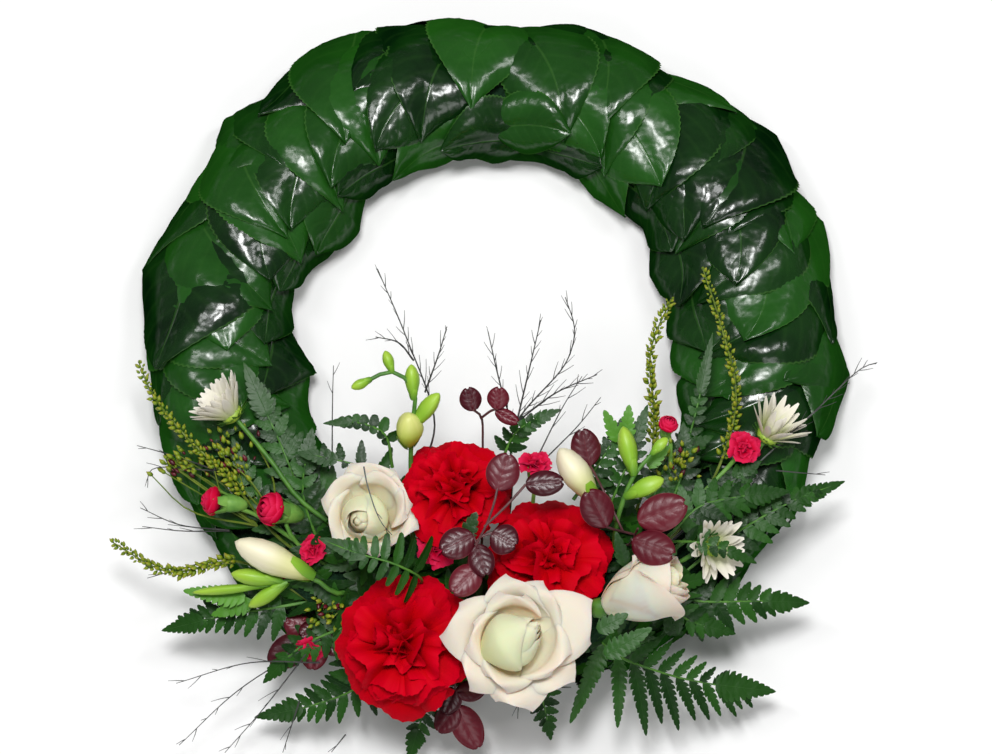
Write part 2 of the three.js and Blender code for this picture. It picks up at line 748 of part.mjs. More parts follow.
const finishes = {
  tray: () => finish(0x1d3b24, 0.5),
  foam: () => finish(0x2c5a34, 0.95),
  leaf: () => finish(0x17501c, 0.25),
  redPetal: () => finish(0xc80812, 0.65),
  whitePetal: () => finish(0xe4dfce, 0.6),
  pinkPetal: () => finish(0xd21048, 0.6),
  creamBud: () => finish(0xb9c46a, 0.5),
  fern: () => finish(0x235c2c, 0.55),
  redLeaf: () => finish(0x5e1a2a, 0.4),
  spike: () => finish(0x8f962c, 0.6),
  twig: () => finish(0x3f4144, 0.7),
};

const wreath = new THREE.Group();

function add(name, geometry, material) {
  const mesh = new THREE.Mesh(geometry, material);
  mesh.name = name;
  wreath.add(mesh);
}

add("ring_tray", join([makeTray()]), finishes.tray());

add("crown_leaf", join([makeCrownLeaf()]), finishes.leaf());
for (const [name, rows] of Object.entries(rowsDown)) {
  for (let row = 1; row <= rows; row++) {
    add(`leaf_fan_${name}_${row}`, makeLeafRow(name === "left" ? 1 : -1, row), finishes.leaf());
  }
}

carnations.forEach((one, i) => add(`carnation_${i + 1}`, makeCarnation(one), finishes.redPetal()));
roses.forEach((one, i) => add(`rose_${i + 1}`, makeRose(one), finishes.whitePetal()));
for (const [name, one] of Object.entries(sprayCarnations)) {
  add(`spray_carnation_${name}`, makeSprayCarnation(one), finishes.pinkPetal());
}
daisies.forEach((one, i) => add(`daisy_${i + 1}`, makeDaisy(one), finishes.whitePetal()));
freesias.forEach((one, i) => add(`freesia_${i + 1}`, makeFreesia(one), finishes.creamBud()));
fronds.forEach((one, i) => add(`fern_${i + 1}`, makeFrond(one), finishes.fern()));
redLeafSprigs.forEach((one, i) => {
  add(`red_leaf_sprig_${i + 1}`, makeRedLeafSprig(one), finishes.redLeaf());
});
budSpikes.forEach((one, i) => add(`bud_spike_${i + 1}`, makeBudSpike(one), finishes.spike()));
twigSprays.forEach((one, i) => add(`twig_spray_${i + 1}`, makeTwigSpray(one), finishes.twig()));

add("foam_ring", join([makeFoamRing()]), finishes.foam());
add("spray_foam", cut(makeBlock(), stemHoles), finishes.foam());

wreath.updateMatrixWorld(true);
const box = new THREE.Box3().setFromObject(wreath);
const middle = box.getCenter(new THREE.Vector3());
wreath.position.set(-middle.x, -middle.y, -box.min.z);

export default wreath;
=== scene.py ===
import math

import bpy
import numpy as np
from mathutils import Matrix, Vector


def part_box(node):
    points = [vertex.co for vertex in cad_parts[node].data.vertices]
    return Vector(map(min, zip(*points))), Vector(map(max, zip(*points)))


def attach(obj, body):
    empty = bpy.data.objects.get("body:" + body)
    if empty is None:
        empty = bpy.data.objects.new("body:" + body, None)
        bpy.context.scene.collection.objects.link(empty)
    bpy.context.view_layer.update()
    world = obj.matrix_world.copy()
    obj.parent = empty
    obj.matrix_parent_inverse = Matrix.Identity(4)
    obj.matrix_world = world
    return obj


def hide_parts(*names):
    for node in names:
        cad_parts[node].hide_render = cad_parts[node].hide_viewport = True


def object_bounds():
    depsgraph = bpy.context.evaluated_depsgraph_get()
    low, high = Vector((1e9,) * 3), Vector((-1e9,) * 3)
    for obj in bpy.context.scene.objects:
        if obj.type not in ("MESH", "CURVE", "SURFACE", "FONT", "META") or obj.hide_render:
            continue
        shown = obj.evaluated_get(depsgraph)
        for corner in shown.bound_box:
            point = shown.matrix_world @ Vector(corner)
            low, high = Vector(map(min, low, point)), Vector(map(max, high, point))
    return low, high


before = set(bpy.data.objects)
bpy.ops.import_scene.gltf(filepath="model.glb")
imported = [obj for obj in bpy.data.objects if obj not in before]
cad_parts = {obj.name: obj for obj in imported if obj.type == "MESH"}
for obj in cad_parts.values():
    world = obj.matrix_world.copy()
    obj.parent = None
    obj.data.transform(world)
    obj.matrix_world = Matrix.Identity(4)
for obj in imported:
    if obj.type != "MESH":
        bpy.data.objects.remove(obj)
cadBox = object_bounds()

# Everything below is in millimetres, with the crown of the ring towards +Y and the ring's middle at
# (0, ringY).
mm = 0.001
ringY = 8.0
trayLow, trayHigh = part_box("ring_tray")
origin = np.array([(trayLow.x + trayHigh.x) / 2, (trayLow.y + trayHigh.y) / 2 - ringY * mm, trayLow.z])
trayOuter = (trayHigh.x - trayLow.x) / 2 / mm
margin = 0.2  # that every piece keeps from the sides of the CAD box
highest = (cadBox[1].z - origin[2]) / mm - 0.5  # that a twig's side shoots reach
goldenTurn = 2.399  # from one petal or bud of a spiral to the next, in radians
print("frame loaded, the tray is", round(2 * trayOuter), "mm across")


# Shader maths

class Shade:  # a socket that can be used in Python arithmetic
    def __init__(self, finish, socket):
        self.finish = finish
        self.socket = socket

    def maths(self, operation, *values):
        return self.finish.node("ShaderNodeMath", {"operation": operation}, dict(enumerate(values)))

    def __add__(self, other):
        return self.maths("ADD", self, other)

    def __sub__(self, other):
        return self.maths("SUBTRACT", self, other)

    def __rsub__(self, other):
        return self.maths("SUBTRACT", other, self)

    def __mul__(self, other):
        return self.maths("MULTIPLY", self, other)

    def __abs__(self):
        return self.maths("ABSOLUTE", self)

    __radd__ = __add__
    __rmul__ = __mul__

    def fraction(self):
        return self.maths("FRACT", self)

    def between(self, low, high):  # rises smoothly from 0 to 1
        return self.finish.node(
            "ShaderNodeMapRange",
            {"interpolation_type": "SMOOTHSTEP"},
            {"Value": self, "From Min": low, "From Max": high},
        )


class Finish:  # a material, with what is the same all over set on the shader's own sockets
    def __init__(self, name, specular=0.5, **constants):
        self.material = bpy.data.materials.new(name)
        self.material.use_nodes = True
        self.tree = self.material.node_tree
        self.shader = next(n for n in self.tree.nodes if n.type == "BSDF_PRINCIPLED")
        self.shader.inputs["Specular IOR Level"].default_value = specular
        for socket, value in constants.items():
            self.shader.inputs[socket.replace("_", " ")].default_value = value

    def node(self, kind, settings=None, sockets=None, output=0):
        made = self.tree.nodes.new(kind)
        for name, value in (settings or {}).items():
            setattr(made, name, value)
        for name, value in (sockets or {}).items():
            if isinstance(value, Shade):
                self.tree.links.new(value.socket, made.inputs[name])
            else:
                made.inputs[name].default_value = value
        return Shade(self, made.outputs[output])

    def feed(self, **sockets):
        for name, value in sockets.items():
            self.tree.links.new(value.socket, self.shader.inputs[name.replace("_", " ")])

    def mix(self, share, first, second):  # of two colours, each given as three numbers or as a socket
        first, second = [c if isinstance(c, Shade) else (*c, 1.0) for c in (first, second)]
        return self.node("ShaderNodeMix", {"data_type": "RGBA"}, {0: share, 6: first, 7: second}, 2)

    def place(self):  # along a leaf or petal, across it from -1 to 1, and a number of its own
        stored = self.node("ShaderNodeAttribute", {"attribute_name": "place"}, output=1)
        return [self.node("ShaderNodeSeparateXYZ", sockets={"Vector": stored}, output=i) for i in range(3)]

    def spot(self):  # the point in space, in metres
        return self.node("ShaderNodeTexCoord", output=3)

    def noise(self, scale, detail=2.0, vector=None):
        return self.node("ShaderNodeTexNoise", None, {
            "Vector": vector or self.spot(), "Scale": scale, "Detail": detail,
        })

    def cells(self, scale):
        return self.node("ShaderNodeTexVoronoi", None, {"Vector": self.spot(), "Scale": scale})

    def streaks(self, along, across, tint, fine, long):  # noise drawn out along a petal
        drawn = {"X": along * long, "Y": across * fine, "Z": tint * 40.0}
        return self.noise(1.0, 2.0, self.node("ShaderNodeCombineXYZ", None, drawn))

    def dullTowards(self, share, shade):  # gives way to a plain matt surface
        matt = self.node("ShaderNodeBsdfPrincipled", None, {
            "Base Color": shade, "Roughness": 1.0, "Specular IOR Level": 0.0,
        })
        glossy = Shade(self, self.shader.outputs[0])
        mixed = self.node("ShaderNodeMixShader", None, {0: share, 1: glossy, 2: matt})
        ending = next(n for n in self.tree.nodes if n.type == "OUTPUT_MATERIAL")
        self.tree.links.new(mixed.socket, ending.inputs["Surface"])

    def bump(self, height, distance, strength):
        self.feed(Normal=self.node("ShaderNodeBump", None, {
            "Height": height, "Distance": distance, "Strength": strength,
        }))


# Meshes

def unit(vectors):
    vectors = np.asarray(vectors, float)
    return vectors / np.maximum(np.linalg.norm(vectors, axis=-1, keepdims=True), 1e-9)


def smoothPath(points, steps):
    # a centripetal Catmull-Rom curve through the points, with its steps evenly spaced
    known = np.asarray(points, float)
    known = np.vstack([2 * known[0] - known[1], known, 2 * known[-1] - known[-2]])
    fine = [known[1]]
    for p0, p1, p2, p3 in zip(known, known[1:], known[2:], known[3:]):
        gaps = [max(np.linalg.norm(b - a) ** 0.5, 1e-4) for a, b in ((p0, p1), (p1, p2), (p2, p3))]
        start = (p1 - p0) / gaps[0] - (p2 - p0) / (gaps[0] + gaps[1]) + (p2 - p1) / gaps[1]
        end = (p2 - p1) / gaps[1] - (p3 - p1) / (gaps[1] + gaps[2]) + (p3 - p2) / gaps[2]
        start, end = start * gaps[1], end * gaps[1]
        for t in np.linspace(0, 1, 13)[1:]:
            fine.append(
                (2 * t**3 - 3 * t**2 + 1) * p1 + (t**3 - 2 * t**2 + t) * start
                + (3 * t**2 - 2 * t**3) * p2 + (t**3 - t**2) * end
            )
    fine = np.array(fine)
    reach = np.concatenate([[0], np.cumsum(np.linalg.norm(np.diff(fine, axis=0), axis=1))])
    wanted = np.linspace(0, reach[-1], steps)
    return np.stack([np.interp(wanted, reach, fine[:, i]) for i in range(3)], 1)


def axesFor(direction):
    # three directions at right angles, the last one along the direction
    ahead = unit(direction)
    helper = (0.0, 1.0, 0.0) if abs(ahead[1]) < 0.8 else (1.0, 0.0, 0.0)
    right = unit(np.cross(helper, ahead))
    return np.array([right, np.cross(ahead, right), ahead])


class Piece:  # gathers sheets, tubes and turned shapes into one object
    def __init__(self, name, *finishes):
        self.name = name
        self.finishes = finishes
        self.points, self.faces, self.kinds, self.places = [], [], [], []
        self.count = 0

    def add(self, points, faces, kinds, place):
        self.points.append(points)
        self.places.append(place)
        self.faces.append(faces + self.count)
        self.kinds.append(kinds)
        self.count += len(points)

    def sheet(self, grid, place, thickness=0.5, front=0, back=None):
        # a thin closed sheet whose two faces meet along its edge
        rows, columns = grid.shape[:2]
        normal = unit(np.cross(np.gradient(grid, axis=0), np.gradient(grid, axis=1)))
        inside = np.zeros((rows, columns), bool)
        inside[1:-1, 1:-1] = True
        top = grid + normal * (thickness / 2) * inside[..., None]
        under = (grid - normal * (thickness / 2))[inside]
        upper = np.arange(rows * columns).reshape(rows, columns)
        lower = upper.copy()
        lower[inside] = rows * columns + np.arange(len(under))

        def quads(index):
            corners = [index[:-1, :-1], index[1:, :-1], index[1:, 1:], index[:-1, 1:]]
            return np.stack([c.ravel() for c in corners], 1)

        faces = np.vstack([quads(upper), quads(lower)[:, ::-1]])
        each = (rows - 1) * (columns - 1)
        kinds = np.repeat([front, front if back is None else back], each)
        place = np.broadcast_to(place, grid.shape)
        places = np.vstack([place.reshape(-1, 3), place[inside]])
        self.add(np.vstack([top.reshape(-1, 3), under]), faces, kinds, places)

    def closeRings(self, rings, ends, kind, shares, spread, tint):
        # closes rows of points that run round, with a point at each end
        rows, sides = rings.shape[:2]
        ring = np.arange(rows * sides).reshape(rows, sides)
        after = np.roll(ring, -1, axis=1)
        foot, tip = np.full(sides, rows * sides), np.full(sides, rows * sides + 1)
        faces = np.vstack([
            np.stack([ring[:-1], after[:-1], after[1:], ring[1:]], -1).reshape(-1, 4),
            np.stack([after[0], ring[0], foot, foot], 1),
            np.stack([ring[-1], after[-1], tip, tip], 1),
        ])
        points = np.vstack([rings.reshape(-1, 3), ends])
        place = placed(shares[:, None], spread, tint).reshape(-1, 3)
        self.add(points, faces, np.full(len(faces), kind), np.vstack([place, placed(np.arange(2), 0, tint)]))

    def turned(self, profile, base, direction, segments=12, kind=0, lobes=0, depth=0.0, tint=0.5):
        # a closed shape turned round a direction; the profile's first and last points are on the axis
        profile = np.asarray(profile, float)
        axes = axesFor(direction)
        around = np.linspace(0, 2 * math.pi, segments, endpoint=False)
        local = wrapped(profile[1:-1, :1] * (1 + depth * np.cos(lobes * around)), around, profile[1:-1, 1:])
        ends = base + np.outer(profile[[0, -1], 1], axes[2])
        heights = (profile[:, 1] - profile[0, 1]) / np.ptp(profile[[0, -1], 1])
        self.closeRings(base + local @ axes, ends, kind, heights[1:-1], np.cos(around), tint)

    def tube(self, path, radius, sides=6, kind=0, steps=None):
        # a closed tube along a smooth path; the radius is one number or one for each end
        path = smoothPath(path, steps or 3 * len(path))
        tangent = unit(np.gradient(path, axis=0))
        normal = axesFor(tangent[0])[0]
        rings = []
        around = np.linspace(0, 2 * math.pi, sides, endpoint=False)
        first, last = radius if isinstance(radius, tuple) else (radius, radius)
        for i, (point, ahead) in enumerate(zip(path, tangent)):
            normal = unit(normal - ahead * np.dot(normal, ahead))
            other = np.cross(ahead, normal)
            size = first + (last - first) * i / (len(path) - 1)
            rings.append(point + size * (np.outer(np.cos(around), normal) + np.outer(np.sin(around), other)))
        shares = np.linspace(0, 1, len(path))
        self.closeRings(np.array(rings), path[[0, -1]], kind, shares, np.zeros(sides), 0.5)

    def build(self, slot, *nodes):
        points = origin + np.vstack(self.points) * mm
        points = np.clip(points, np.array(cadBox[0]) + margin * mm, np.array(cadBox[1]) - margin * mm)
        faces = np.vstack(self.faces)
        mesh = bpy.data.meshes.new(self.name)
        mesh.from_pydata(points.tolist(), [], [f[:3] if f[2] == f[3] else f for f in faces.tolist()])
        mesh.attributes.new("place", "FLOAT_VECTOR", "POINT")
        mesh.attributes["place"].data.foreach_set("vector", np.vstack(self.places).astype(np.float32).ravel())
        for finish in self.finishes:
            mesh.materials.append(finish.material)
        mesh.polygons.foreach_set("material_index", np.concatenate(self.kinds).astype(np.int32))
        mesh.shade_smooth()
        mesh.set_sharp_from_angle(angle=math.radians(60))
        made = bpy.data.objects.new(self.name, mesh)
        bpy.context.scene.collection.objects.link(made)
        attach(made, "root")
        if nodes:
            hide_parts(*nodes)


def polar(angle, radius, height):
    return (radius * math.cos(math.radians(angle)), ringY + radius * math.sin(math.radians(angle)), height)


def grids(rows, columns, first=0.0):  # how far along a leaf or petal, and how far across it
    return np.linspace(first, 1, rows)[:, None], np.linspace(-1, 1, columns)[None, :]


def placed(along, across, tint):
    return np.stack(np.broadcast_arrays(along, across, tint), -1)


def wrapped(radius, around, height):  # points at a radius and an angle round an axis
    return np.stack(np.broadcast_arrays(radius * np.cos(around), radius * np.sin(around), height), -1)


def spun(outward, aside, height, turn):  # points of one petal, turned round the flower's axis
    return np.stack(np.broadcast_arrays(
        outward * math.cos(turn) - aside * math.sin(turn),
        outward * math.sin(turn) + aside * math.cos(turn),
        height,
    ), -1)


def scaled(profile, across, along=None):
    return [(radius * across, height * (along or across)) for radius, height in profile]


# Finishes

def leafFinish(name, dark, light, vein, veins, slant, gloss, **constants):
    finish = Finish(name, **constants)
    along, across, tint = finish.place()
    side = abs(across)
    cloud = finish.noise(38.0, 3.0)
    rib = 1 - side.between(0.008, 0.035)
    lines = abs((along * veins - side * slant).fraction() - 0.5).between(0.3, 0.5)
    lines = lines * (1 - side.between(0.7, 0.95))
    rim = side.between(0.94, 1.0)
    shade = finish.mix(cloud.between(0.3, 0.72) * 0.25 + tint.between(0.1, 0.9) * 0.75, dark, light)
    shade = finish.mix(rib * 0.28 + lines * 0.05 + rim * 0.6, shade, vein)
    blister = finish.noise(150.0, 1.0)
    wrinkle = finish.noise(520.0, 2.0)
    finish.feed(Base_Color=shade, Roughness=cloud * 0.14 + tint * 0.05 + gloss)
    edge = finish.node("ShaderNodeLayerWeight", None, {"Blend": 0.5}, 1).between(0.22, 0.46)
    finish.dullTowards(edge, shade)
    finish.bump(blister * 2.4 + wrinkle * 0.18 - rib * 0.5 - lines * 0.12, 0.0005, 0.5)
    return finish


def petalFinish(name, footColourAndShade, body, rim, grain=0.3, **constants):
    # the colour runs from a petal's foot to its rim, in fine streaks; the foot colour is painted shade deep
    # in the head on the carnations, and the petal's own colour on roses and daisies
    finish = Finish(name, **constants)
    along, across, tint = finish.place()
    lines = finish.streaks(along, across, tint, 14.0, 1.2)
    cloud = finish.noise(90.0, 2.0)
    # darker at the foot of carnation petals: painted shade among the crowded petals
    shade = finish.mix(along.between(0.1, 0.75), footColourAndShade, body)
    share = (along.between(0.72, 1.0) * 0.75 + tint * 0.25) * (0.45 + lines * 0.9)
    shade = finish.mix(share, shade, rim)
    finish.feed(Base_Color=shade, Roughness=cloud * 0.15 + 0.55)
    finish.bump(lines * 0.6 + cloud * 0.4, 0.0006, grain)
    return finish


def budFinish(name, foot, middle, tip, low, high, **constants):
    finish = Finish(name, **constants)
    along, across, tint = finish.place()
    lines = finish.streaks(along, across, tint, 6.0, 1.5)
    shade = finish.mix(along.between(0.0, low), foot, middle)
    shade = finish.mix(along.between(low, high) * (0.6 + lines * 0.5), shade, tip)
    finish.feed(Base_Color=shade, Roughness=lines * 0.2 + 0.32)
    finish.bump(lines, 0.0005, 0.25)
    return finish


def plainGreen(name, dark, light, scale=160.0, **constants):
    finish = Finish(name, **constants)
    tint = finish.place()[2]
    cloud = finish.noise(scale, 3.0)
    shade = finish.mix(cloud.between(0.3, 0.7) * 0.6 + tint * 0.4, dark, light)
    finish.feed(Base_Color=shade, Roughness=cloud * 0.2 + 0.4)
    finish.bump(cloud, 0.0005, 0.4)
    return finish


ringVeins, ringSlant = 8.0, 2.2  # shared with the shape of the ring's leaves
leafTop = leafFinish(
    "ring_leaf_top", (0.001, 0.011, 0.002), (0.013, 0.084, 0.007), (0.05, 0.15, 0.025),
    veins=ringVeins, slant=ringSlant, gloss=0.14, specular=0.55)
leafUnder = plainGreen("ring_leaf_underside", (0.018, 0.036, 0.016), (0.04, 0.07, 0.032), specular=0.3)
# the first colour of both carnation finishes, far darker than the body, is painted shade at the petals' feet
# deep in the head
carnationRed = petalFinish(
    "carnation_petal", (0.14, 0.0, 0.001), (0.46, 0.0, 0.003), (0.56, 0.0, 0.012), specular=0.03)
carnationPink = petalFinish(
    "small_carnation_petal", (0.26, 0.0, 0.01), (0.50, 0.0, 0.025), (0.68, 0.02, 0.09), specular=0.05)
roseGlow = {"grain": 0.12, "specular": 0.2, "Subsurface_Weight": 0.35, "Subsurface_Scale": 0.008}
roseWhite = petalFinish("rose_petal", (0.80, 0.69, 0.47), (0.81, 0.67, 0.54), (0.82, 0.65, 0.56), **roseGlow)
roseInner = petalFinish(
    "rose_bud_petal", (0.78, 0.72, 0.34), (0.80, 0.71, 0.44), (0.81, 0.69, 0.50), **roseGlow)
daisyWhite = petalFinish(
    "daisy_petal", (0.55, 0.60, 0.25), (0.80, 0.76, 0.64), (0.86, 0.82, 0.74), specular=0.25)
daisyEye = plainGreen("daisy_eye", (0.20, 0.36, 0.03), (0.45, 0.58, 0.07), 700.0)
creamBud = budFinish(
    "freesia_cream", (0.30, 0.42, 0.04), (0.72, 0.72, 0.34), (0.86, 0.80, 0.60), 0.3, 0.7, specular=0.4)
limeBud = budFinish(
    "freesia_lime", (0.16, 0.32, 0.02), (0.42, 0.55, 0.05), (0.66, 0.66, 0.22), 0.35, 0.95, specular=0.45)
greenBud = budFinish(
    "freesia_green", (0.10, 0.26, 0.02), (0.24, 0.46, 0.03), (0.36, 0.56, 0.05), 0.4, 0.9, specular=0.45)
huskGreen = plainGreen("calyx_green", (0.07, 0.22, 0.03), (0.20, 0.40, 0.07), specular=0.4)
stemGreen = plainGreen("stem_green", (0.03, 0.12, 0.015), (0.10, 0.26, 0.03), specular=0.4)
fernTop = leafFinish(
    "fern_top", (0.004, 0.024, 0.003), (0.020, 0.092, 0.008), (0.04, 0.14, 0.02),
    veins=7.0, slant=1.0, gloss=0.30, specular=0.26)
lobedLeaf = leafFinish(
    "bright_leaf", (0.03, 0.13, 0.008), (0.09, 0.27, 0.02), (0.12, 0.30, 0.04),
    veins=7.0, slant=1.0, gloss=0.34, specular=0.3)
fernUnder = plainGreen("fern_underside", (0.02, 0.06, 0.015), (0.04, 0.10, 0.03))
redVeins, redSlant = 5.0, 1.6  # shared with the shape of the burgundy leaves
redLeaf = leafFinish(
    "burgundy_leaf", (0.035, 0.002, 0.006), (0.13, 0.008, 0.018), (0.24, 0.05, 0.06),
    veins=redVeins, slant=redSlant, gloss=0.26, specular=0.45)
redStem = plainGreen("burgundy_stem", (0.05, 0.015, 0.02), (0.13, 0.04, 0.04))
oliveBud = budFinish(
    "spike_bud", (0.05, 0.12, 0.006), (0.19, 0.26, 0.010), (0.36, 0.30, 0.03), 0.5, 0.95, specular=0.3)
oliveStem = plainGreen("spike_stem", (0.06, 0.12, 0.01), (0.18, 0.24, 0.02))
twigDark = plainGreen("twig", (0.02, 0.022, 0.024), (0.07, 0.07, 0.065), 300.0)
print("finishes made")


# Ring leaves

ring = {
    # the foam's section, and the round that the leaves bend over
    "radius": trayOuter - 31, "foam": 31.0, "foamHeight": 10.0, "drape": 36.0, "bulge": 0.15,
    "sides": {"left": (1, 9), "right": (-1, 10)},  # which way round from the crown, and how many rows
    "pitch": 15.0, "firstFoot": 4, "sway": 9.0, "placeSway": 3, "lengthSway": (-4, 5), "widthSway": (-2, 2),
    "lift": 2.2, "slope": 0.17, "swell": 0.9, "hug": 0.4, "lowest": 0.8,
    # a leaf: its grid's rows and columns, how it stands up between its veins, and its edge
    "thickness": 0.7, "grid": (56, 13), "pucker": 0.4, "tooth": 0.016, "lobe": 2.4, "curl": 0.4, "waves": 1.1,
    # each leaf's place round the section, heading, start along the row and lift
    "row": [(42, -12, -2, 0.0), (-34, 4, 0, 0.3), (9, -16, 4, 1.3), (61, -50, 0, 2.6), (34, -60, 4, 4.2)],
    "shortRow": [(42, -6, -2, 0.0), (-34, 2, 0, 0.3), (9, -8, 4, 1.3)],
    "wallRow": [(43, -6, 0, 0.0), (45, -4, 17, 2.6), (60, -40, 0, 3.0)],
    # from which row on its leaves are laid, with their length and half width
    "kinds": [(1, "row", 76.0, 27.0), (8, "shortRow", 52.0, 25.0), (9, "wallRow", 50.0, 21.0)],
    "single": [  # side, foot, place, heading, lift, length and half width of leaves laid on their own
        (1, -8, 58, -68, 7.0, 76, 27), (1, -26, -34, 3, 3.0, 64, 24), (-1, 2, -27, 14, 6.0, 52, 17),
        (1, 168, 20, -4, 3.6, 84, 38),
        (-1, 118, 52, -55, 7.2, 80, 30), (-1, 128, 22, -66, 6.6, 66, 24), (1, 58, 56, -66, 7.0, 76, 28),
        (1, 128, 40, -58, 7.0, 70, 26), (-1, 40, 58, -64, 7.4, 78, 27), (-1, 228, 54, -24, 6.0, 62, 31),
        (1, -38, 50, 2, 1.0, 80, 26),
    ],
    # how far the leaves' tips stand out at the ring's outer and inner edge, down each side from the crown
    "stand": {
        (1, True): [(0, -4), (40, 1), (58, 9), (92, 6), (108, 1), (128, 7), (150, 0), (185, 0), (203, 5),
                    (225, -2), (285, -8)],
        (1, False): [(0, -2), (20, -6), (90, -6), (122, 4), (155, 2), (180, -5), (205, -5), (235, 4),
                     (255, 11), (290, 4)],
        (-1, True): [(0, -4), (40, 3), (67, -5), (108, 1), (138, 7), (160, 0), (180, 8), (202, 0), (225, -5),
                     (248, 2), (268, -6), (290, -12)],
        (-1, False): [(0, 0), (56, -7), (85, 0), (130, -2), (165, 8), (188, 8), (204, 8), (240, 10),
                      (265, 8), (285, 0)],
    },
}


def overRing(side, along, over, lift):
    turn = math.pi / 2 + side * along / ring["radius"]
    tilt = over / ring["drape"]
    bend = np.clip(tilt, -math.pi / 2, math.pi / 2)
    bulge = 1 + ring["bulge"] * (1 - np.cos(bend))
    radius = ring["radius"] + (ring["foam"] + lift) * bulge * np.sin(bend)
    height = ring["foamHeight"] + (ring["foam"] + lift) * np.cos(bend) - abs(tilt - bend) * ring["drape"]
    height = np.maximum(height, 1.0)
    return np.stack([radius * np.cos(turn), ringY + radius * np.sin(turn), height], -1)


def ringSwell(along, over):  # one slow wave over the whole ring, so that lapped leaves keep apart
    return ring["swell"] * (np.sin(along / 8.5 + over / 14) + 0.8 * np.sin(along / 15 - over / 9 + 1.3))


def puckers(u, v, veins, slant, keel):  # how the leaf stands up between its veins
    wave = (u * veins - abs(v) * slant) % 1.0
    return 4 * wave * (1 - wave) * np.minimum(1, 3 * (1 - abs(v))) * np.minimum(1, keel * abs(v))


def ringLeaf(piece, side, foot, leaf, length, halfWidth, rng):
    over0, heading, start, extra = leaf
    u, v = grids(*ring["grid"])
    width = np.maximum(np.sin(math.pi * u**0.78) ** (0.6 + 0.35 * u), 0.012)
    teeth = np.where(np.arange(len(u)) % 2, 1, -1)[:, None] * np.where(u > 0.25, ring["tooth"], 0.0)
    width = width * (1 + teeth * (abs(v) > 0.99))
    turned = math.radians(heading) + rng.uniform(-0.25, 0.25) * (u - 0.5)
    along = start + u * length * np.cos(turned) - v * width * halfWidth * np.sin(turned)
    over = over0 + u * length * np.sin(turned) + v * width * halfWidth * np.cos(turned)
    dome = puckers(u, v, ringVeins, ringSlant, keel=6)
    lobes = ring["lobe"] * np.sin(math.pi * np.minimum(abs(v), 0.95)) * width - ring["curl"] * abs(v) ** 5
    ripple = ring["waves"] * abs(v) * np.sin(rng.uniform(7, 11) * u + rng.uniform(0, 6) + 1.5 * v)
    lift = ring["lift"] + extra + ring["slope"] * along + lobes + ripple + ring["pucker"] * dome
    lift = lift + ringSwell(foot + along, side * 20 + over)
    lift = np.maximum(lift * (1 - ring["hug"] * np.clip(abs(over) / 56, 0, 1.2) ** 2), ring["lowest"])
    stands = [np.interp(foot + along, *zip(*ring["stand"][(side, outer)])) for outer in (True, False)]
    lift = lift + np.where(over > 0, *stands) * np.clip(abs(over) / 50, 0, 1) ** 3
    grid = overRing(side, foot + along, over, lift)
    piece.sheet(grid[:, ::-side], placed(u, v, rng.uniform()), ring["thickness"], back=1)


def makeRingLeaves():
    rng = np.random.default_rng(3)
    for name, (side, rows) in ring["sides"].items():
        for row in range(1, rows + 1):
            _, kind, length, halfWidth = [k for k in ring["kinds"] if row >= k[0]][-1]
            foot = math.radians(ring["pitch"]) * ring["radius"] * (row - 1) + ring["firstFoot"]
            piece = Piece(f"leaf_row_{name}_{row}", leafTop, leafUnder)
            for over, heading, start, extra in ring[kind]:
                over += rng.uniform(-1, 1) * ring["placeSway"]
                heading += rng.uniform(-1, 1) * ring["sway"]
                longer, wider = rng.uniform(*ring["lengthSway"]), rng.uniform(*ring["widthSway"])
                leaf = (over, heading, start, extra)
                ringLeaf(piece, side, foot, leaf, length + longer, halfWidth + wider, rng)
            piece.build("ring_leaf", f"leaf_fan_{name}_{row}")
    for number, (side, foot, over, heading, extra, length, halfWidth) in enumerate(ring["single"], 1):
        piece = Piece(f"single_leaf_{number}", leafTop, leafUnder)
        ringLeaf(piece, side, foot, (over, heading, 0, extra), length, halfWidth, rng)
        piece.build("ring_leaf", *(["crown_leaf"] if number == 1 else []))


makeRingLeaves()
print("ring leaves laid")


# Flowers

carnations = {
    "petals": 38, "grid": (12, 25), "crowding": 0.72, "opening": 62, "tooth": 0.009,
    "calyx": [(0, -27), (4, -26.5), (6.5, -24), (6.2, -18), (7.5, -14), (5, -12), (0, -12)], "drop": 25.5,
    "heads": [
        {"centre": (-20, -74, 88), "axis": (0, 0.3, 1), "radius": 29,
         "path": [polar(261, 138, 50), (-20, -112, 52), (-20, -94, 54)]},
        {"centre": (31, -112, 88), "axis": (0.05, 0.1, 1), "radius": 33,
         "path": [(30, -131, 47), (30, -120, 57)]},
        {"centre": (-48, -160, 87), "axis": (-0.1, -0.12, 1), "radius": 36,
         "path": [(-44, -148, 47), (-45, -153, 56)]},
    ],
}

# How a frilled head's petals are laid, for a head of the drawn radius. "From" and "To" are for the middle
# petals and for the outermost ones: in degrees for the rise, millimetres for the length, otherwise radians.
frills = {
    "drawn": 36, "riseFrom": 82, "riseSway": 12, "lengthFrom": 25, "lengthTo": 38, "lengthSway": (-4.5, 1.5),
    "spreadFrom": 0.42, "spreadTo": 0.78, "spreadSway": 0.06, "foot": 14, "top": 21,
    "bowFrom": 0.15, "bowTo": 0.57, "waves": (0.35, 0.8), "depth": 0.085, "crumpled": 0.16,
}


def frill(name, openness):
    return frills[name + "From"] + (frills[name + "To"] - frills[name + "From"]) * openness


